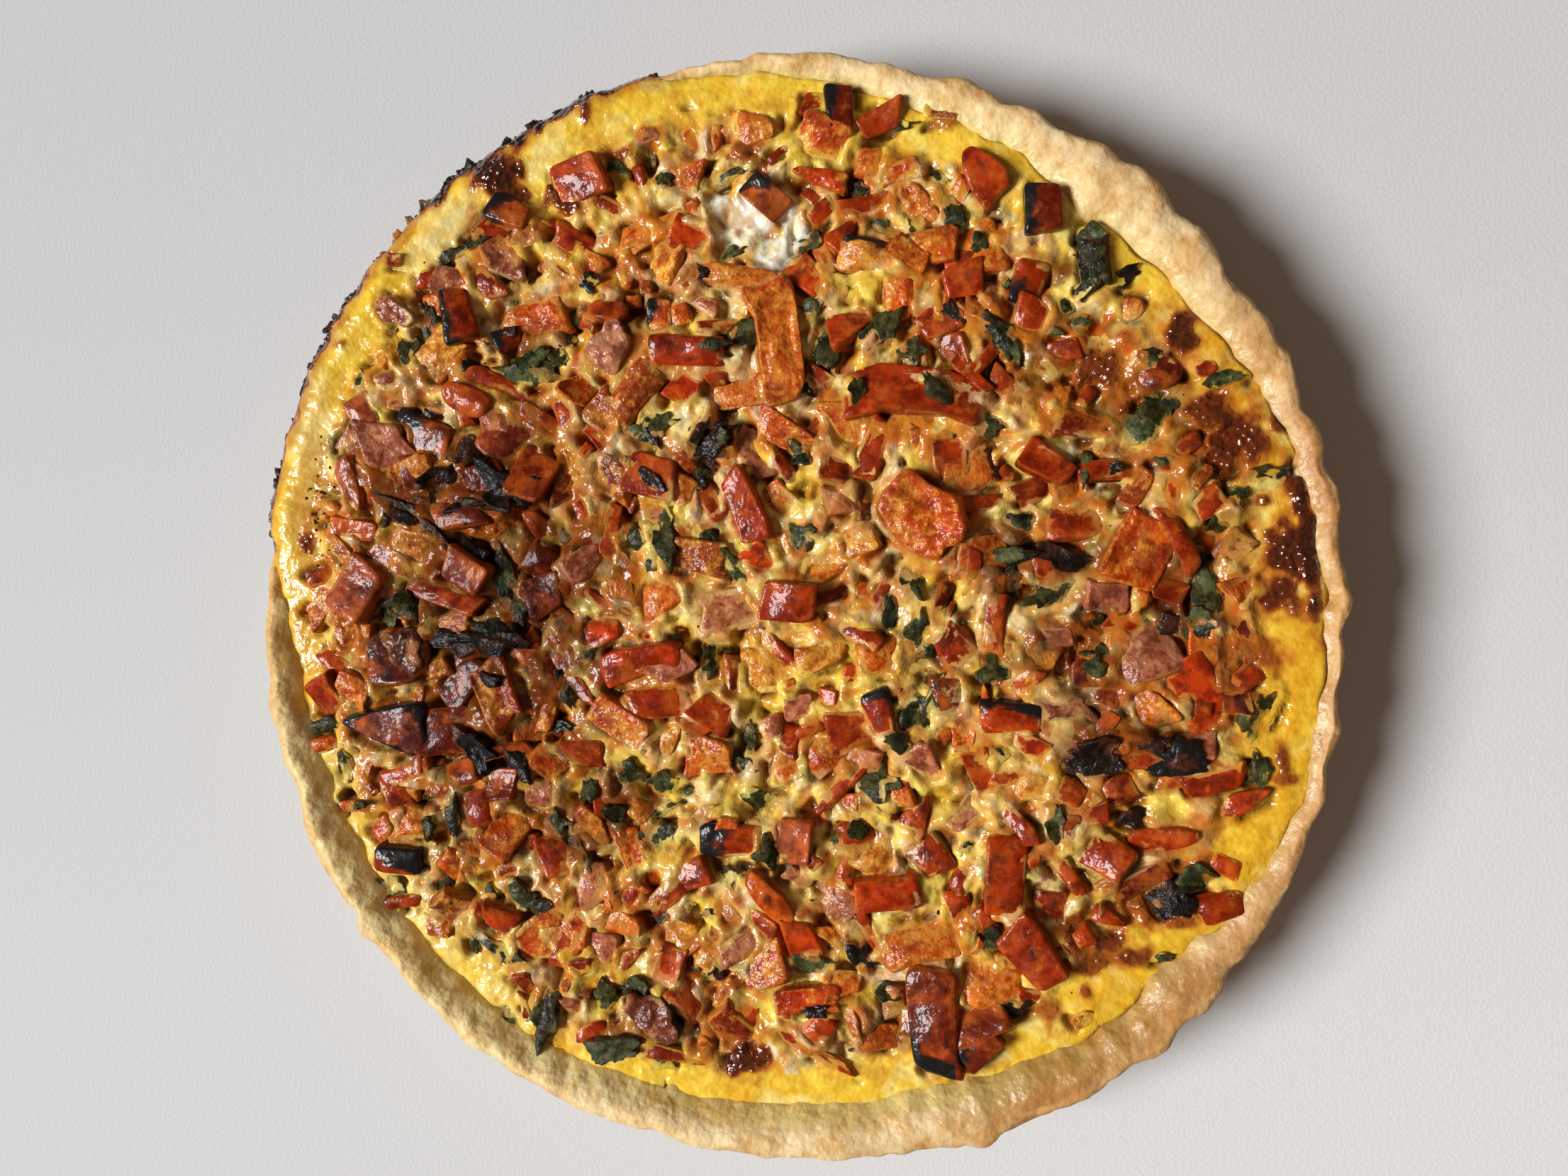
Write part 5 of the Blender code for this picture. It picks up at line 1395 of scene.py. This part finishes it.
def case_rows(degrees):
    """The case's section as rows of (radius, height) at each angle, and each row's place in it."""
    guides, places = [], []
    for a, b, share, _ in CASE_GUIDES:
        ends = [np.stack((ring(k, 0, degrees), ring(k, 1, degrees)), 1) for k in (a, b)]
        guides.append(ends[0] * (1 - share) + ends[1] * share)
        places.append(a * (1 - share) + b * share)
    guides = [guides[0]] + guides + [guides[-1]]
    places = [places[0]] + places + [places[-1]]
    rows, where = [guides[0]], [0.0]
    for k, (*_, steps) in enumerate(CASE_GUIDES[:-1]):
        for t in (np.arange(steps) + 0.5) / steps:
            weights = np.array(((1 - t) ** 3, 3 * t ** 3 - 6 * t ** 2 + 4,
                                -3 * t ** 3 + 3 * t ** 2 + 3 * t + 1, t ** 3)) / 6
            rows.append(sum(w * g for w, g in zip(weights, guides[k:k + 4])))
            where.append(sum(w * g for w, g in zip(weights, places[k:k + 4])))
    return rows + [guides[-1]], where + [float(FOOT)]


def case_mesh():
    """The pastry case: its section swept round the ring, with torn edges, flutes and browning."""
    count = CASE_COLUMNS
    degrees = np.arange(count) * 360 / count
    rows, where = case_rows(degrees)
    where = np.repeat(where, count)
    section = np.concatenate(rows)
    around_at = np.tile(degrees, len(rows))
    angle = np.radians(around_at)
    way = np.stack((np.cos(angle), np.sin(angle)), 1)
    points = np.concatenate((way * section[:, :1] + CENTRE, section[:, 1:]), 1)
    shown = smooth(where, 0.6, 1.4) * smooth(where, 6.9, 6.2)
    lumps = (0.55 * rough(points, 17, 61, 2) + 0.48 * rough(points, 6.5, 62, 2)
             + 0.12 * rough(points, 2.2, 63, 2))
    tall = points / (1, 1, 2)
    torn = 0.9 * rough(tall, 13, 67, 2) + 0.45 * rough(tall, 3.2, 68, 2)
    torn = torn * smooth(where, 1.2, 1.9) * smooth(where, 4.2, 3.0)
    upright = rough(np.stack((np.radians(around_at) * MEAN_RADIUS / 4.5, points[:, 2] / 14), 1), 1.0, 64, 2)
    lumps += 0.45 * upright * smooth(where, 3.4, 4.4) * between(RIPPLES, around_at)
    push = shown * lumps
    tip = sum(out * np.exp(-((around_at - at) / wide) ** 2) for at, wide, out in TIPS)
    tip = tip * smooth(where, 1.6, 3) * smooth(where, 5, 4)
    rim_swell = 0.5 * smooth(where, 1.2, 1.9) * smooth(where, 4.0, 3.0)
    points[:, :2] += way * ((push * smooth(where, 4.4, 3.0) + torn + tip + rim_swell)[:, None])
    points[:, :2] -= way * (push * smooth(where, 4.6, 5.6))[:, None]
    crest_swell = 0.35 * smooth(where, 2.2, 3.2) * smooth(where, 6, 4)
    points[:, 2] += push * smooth(where, 2.6, 3.4) * 0.8 + crest_swell
    points[:, 2] = np.maximum(points[:, 2], 0)
    wall = smooth(where, 4.75, 5.5)
    right_side = between(RIGHT_SIDE, around_at)
    layers = (
        (PALE_DOUGH, between(PALE_TOP, around_at) * smooth(where, 2.2, 3.2)),
        (BROWN_DOUGH, 0.6 * smooth(rough(points, 9, 65, 3), -0.1, 0.5)),
        ((0.50, 0.25, 0.075), 0.5 * smooth(rough(points, 4, 69, 3), 0.25, 0.7) * smooth(where, 4.4, 3.2)),
        (FLOUR, 0.5 * smooth(rough(points, 5, 70, 3), 0.2, 0.7)),
        ((0.64, 0.50, 0.17), 0.85 * wall),
        ((0.60, 0.36, 0.105), between(GOLDEN_SIDE, around_at) * smooth(where, 4.4, 3.6)),
        # Painted light: a paler tone over the lower left side, which stands in shade.
        ((1.0, 0.82, 0.40), between(PAINTED_LIGHT_IN_SHADE, around_at) * smooth(where, 3.0, 4.2)),
        ((0.80, 0.64, 0.30), between(INNER_PALE, around_at) * smooth(where, 3.7, 4.6)),
        ((0.40, 0.185, 0.050), right_side * smooth(where + 0.5 * rough(points, 5, 71, 2), 4.0, 2.6)),
        ((0.66, 0.38, 0.13), 0.8 * right_side * smooth(where, 5.2, 4.2)),
        ((0.47, 0.24, 0.085), between(FACING, around_at) * smooth(where, 2.8, 3.8)
         * (0.8 + 0.4 * rough(points, 6, 72, 2))),
        ((0.40, 0.24, 0.06), 0.85 * between(FATTY, around_at) * smooth(where, 3.4, 4.4)),
    )
    colours = np.tile(np.array(DOUGH), (len(points), 1))
    for colour, share in layers:
        colours = mixed(colours, colour, share)
    baked = between(OUTER_BAKE, around_at) * smooth(where, 3.6, 2.4) + \
        between(TOP_BAKE, around_at) * smooth(where, 3.0, 3.8) * smooth(where, 5.2, 4.6)
    baked = baked + 0.22 * rough(points, 11, 66, 2) * smooth(where, 5, 4) + \
        0.25 * spilled(around_at) * smooth(where, 2.0, 3.0)
    oily = np.clip(between(OILY, around_at) * smooth(where, 3.6, 4.6) + wall * 0.8, 0, 1)
    marks = np.stack((np.clip(baked, 0, 1), oily, np.zeros(len(points))), 1)
    faces = [strip_faces((k + 1) * count, k * count, count)[:, ::-1] for k in range(len(rows) - 1)]
    under, floor = len(points), len(points) + 1
    hubs = np.array(((*CENTRE, 0.0), (*CENTRE, RINGS[:, FOOT, 1].mean())))
    faces += [fan_faces(under, 0, count, False), fan_faces(floor, (len(rows) - 1) * count, count, True)]
    points = np.concatenate((points, hubs))
    colours = np.concatenate((colours, colours[:2]))
    marks = np.concatenate((marks, np.zeros((2, 3))))
    return points, np.concatenate(faces), np.clip(colours, 0, 1), marks, marks


pastry = make_object("pastry_case", *case_mesh(), crust_material())
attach(pastry, "root")
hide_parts("crust")


# Burnt crumbs along the spilled edge -------------------------------------------------------

# x, y, length, width, tint
CRUMBS = (
    (-128, 56, 8, 3, BLACK), (-125, 62, 6, 3, MAROON), (-119, 71, 6, 3, BLACK), (-113, 79, 8, 3.2, BLACK),
    (-107, 84, 5, 4, BROWN), (-104, 90, 5, 3, BROWN), (-101, 95, 6, 4, TOAST),
    (-97, 100, 7, 4, CRUMB_BROWN), (-92, 103, 7, 5, CRUMB_BROWN), (-88, 107, 6, 3, BLACK),
    (-82, 114, 6, 3.4, BLACK), (-76, 117, 8, 3, BLACK), (-71, 120, 8, 3, BLACK), (-65, 123, 6, 3, BLACK),
    (-58, 126, 8, 3, BLACK), (-52, 129, 7, 2.6, BLACK), (-47, 131, 6, 3, BLACK),
    (-136, 27, 5, 3, (0.42, 0.26, 0.12)), (-135.5, 20, 8, 3, BLACK), (-134, 35, 7, 2.6, MAROON),
    (-131.5, 46, 7, 2.4, SINGED), (-33, 134, 10, 1.8, SINGED), (137, 3, 5, 2, MAROON),
    (134, -33, 7, 3, BLACK), (-122, 67, 6, 3, MAROON), (-110, 82, 6, 3, BLACK), (-85, 110.5, 6, 3, MAROON),
)
FLAKES_PER_CRUMB = 5
crumbs = Heap()
for number, (x, y, length, width, colour) in enumerate(CRUMBS):
    for part in range(FLAKES_PER_CRUMB):
        swing = math.atan2(y, x) + (part - 2) * 0.26 * length / math.hypot(x, y)
        degrees = np.array([math.degrees(swing)])
        edge_at = float(custard_edge(degrees)[0] if x < 0 else ring(RIM, 0, degrees)[0] - 1.0)
        reach = edge_at + RNG.uniform(-2.0, 0.3)
        place = (reach * math.cos(swing), reach * math.sin(swing), 24.2 + RNG.uniform(-0.6, 0.6))
        axes = tilted(math.degrees(swing) + 90 + RNG.uniform(-40, 40),
                      RNG.uniform(-12, 12), RNG.uniform(-12, 12))
        form = RNG.choice(("leaf", "lump", "lump"))
        half_length, half_width = length * RNG.uniform(0.16, 0.34), width * RNG.uniform(0.28, 0.52)
        colour_here = np.array(colour) * RNG.uniform(0.7, 1.4)
        seed = 900 + FLAKES_PER_CRUMB * number + part
        crumbs.take(*piece(Plan("charred", form, place, axes, half_length, half_width, 1.3,
                                colour_here, seed, 0.0, 0.0, None, 16, SECTION[1::2], 0.0)))
crumbs.make("edge_crumbs", "charred")

# Ground pepper on the custard: x, y, how far it spreads, how many
PINCHES = ((-122, 32, 6, 26), (-119, 22, 5, 16), (-118, 12, 4, 12), (-128, 30, 3, 8), (-116, 42, 4, 6),
           (-60, 60, 40, 14), (0, 0, 110, 50))
specks = Heap()
for x, y, spread, many in PINCHES:
    for _ in range(many):
        px, py = x + RNG.normal() * spread * 0.6, y + RNG.normal() * spread * 0.6
        size = RNG.uniform(0.14, 0.36)
        if math.hypot(px, py) < 128:
            place = (px, py, sample(height, px, py) + size * 0.3)
            axes = tilted(RNG.uniform(0, 180), 0, 0)
            specks.take(*piece(Plan("charred", "lump", place, axes, size * 1.3, size, size * 1.3,
                                    BLACK, 1500 + len(specks.parts), 0.0, 0.0, None, 7,
                                    SECTION[1::4], 0.0)))
specks.make("ground_pepper", "charred")


# Floor, light and camera -------------------------------------------------------------------

def floor_material():
    """Matt pale board: cooler at the left, warmer at the right, and lighter in front as painted light."""
    t = Tree("floor")
    grain = t.noise(0.9, 4.0, 0.6)
    where = t.add("ShaderNodeSeparateXYZ", Vector=t.place)
    # Painted light: the board's colour grows lighter towards the front and the front right, standing for
    # the fall-off of the light.
    near = t.ramp(where.outputs[1], 0.16, -0.16)
    left = t.mix(near, (0.54, 0.545, 0.55), (0.61, 0.615, 0.615))
    right = t.mix(near, (0.545, 0.535, 0.515), (0.66, 0.65, 0.635))
    colour = t.mix(t.ramp(where.outputs[0], -0.2, 0.2), left, right)
    colour = t.mix(t.ramp(grain, 0.3, 0.7), t.shade(colour, (0.96, 0.96, 0.96)), colour)
    return t.finish(colour, t.ramp(grain, 0.3, 0.7, 0.75, 0.9), t.bump(grain, 0.12),
                    Specular_IOR_Level=0.2)


FLOOR_REACH = 3.0             # metres
FLOOR_DROP = -0.0002
floor_mesh = bpy.data.meshes.new("floor")
floor_mesh.from_pydata([(x * FLOOR_REACH, y * FLOOR_REACH, FLOOR_DROP)
                        for x, y in ((-1, -1), (1, -1), (1, 1), (-1, 1))], [], [(0, 1, 2, 3)])
floor = bpy.data.objects.new("floor", floor_mesh)
bpy.context.collection.objects.link(floor)
floor_mesh.materials.append(floor_material())
floor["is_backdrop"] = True


# A window: where its light comes from and how broad it is, in degrees, and how strong
WINDOW_AZIMUTH = 191
WINDOW_ELEVATION = 43.3
WINDOW_SPREAD = 24
WINDOW_STRENGTH = 4.65
WINDOW_COLOUR = (0.98, 1.0, 1.02)
ROOM_COLOUR = (1.0, 0.72, 0.54, 1)
ROOM_STRENGTH = 0.15

lamp = bpy.data.lights.new("window", "SUN")
lamp.angle = math.radians(WINDOW_SPREAD)
lamp.energy = WINDOW_STRENGTH
lamp.color = WINDOW_COLOUR
window_light = bpy.data.objects.new("window", lamp)
flat, high = math.radians(WINDOW_AZIMUTH), math.radians(WINDOW_ELEVATION)
toward = Vector((math.cos(flat) * math.cos(high), math.sin(flat) * math.cos(high), math.sin(high)))
window_light.rotation_mode = "QUATERNION"
window_light.rotation_quaternion = toward.to_track_quat("Z", "Y")
bpy.context.collection.objects.link(window_light)
world = bpy.data.worlds.new("room")
bpy.context.scene.world = world
world.use_nodes = True
background = world.node_tree.nodes["Background"]
background.inputs[0].default_value = ROOM_COLOUR
background.inputs[1].default_value = ROOM_STRENGTH
bpy.context.scene.view_settings.view_transform = "Standard"

# The camera looks down from a little in front and to the right; its aim is from the case's middle
LENS = 28
SENSOR = 36
AIM = (4.657, 5.461, 29)
LEAN = 10                     # degrees from straight down
HEADING = 15                  # degrees, the way it leans
DISTANCE = 301.4
camera_data = bpy.data.cameras.new("camera")
camera_data.lens, camera_data.sensor_width = LENS, SENSOR
camera_data.clip_start, camera_data.clip_end = 0.01, 10
camera = bpy.data.objects.new("camera", camera_data)
bpy.context.collection.objects.link(camera)
aim = Vector((AIM[0] + CENTRE[0], AIM[1] + CENTRE[1], AIM[2])) * MM
lean, heading = math.radians(LEAN), math.radians(HEADING)
back = Vector((math.sin(lean) * math.cos(heading), math.sin(lean) * math.sin(heading), math.cos(lean)))
camera.location = aim + back * (DISTANCE * MM)
up = Vector((0, 1, 0)) - back * back.y
up.normalize()
side = up.cross(back)
camera.rotation_mode = "QUATERNION"
camera.rotation_quaternion = Matrix((side, up, back)).transposed().to_quaternion()
bpy.context.scene.camera = camera

low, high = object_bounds()
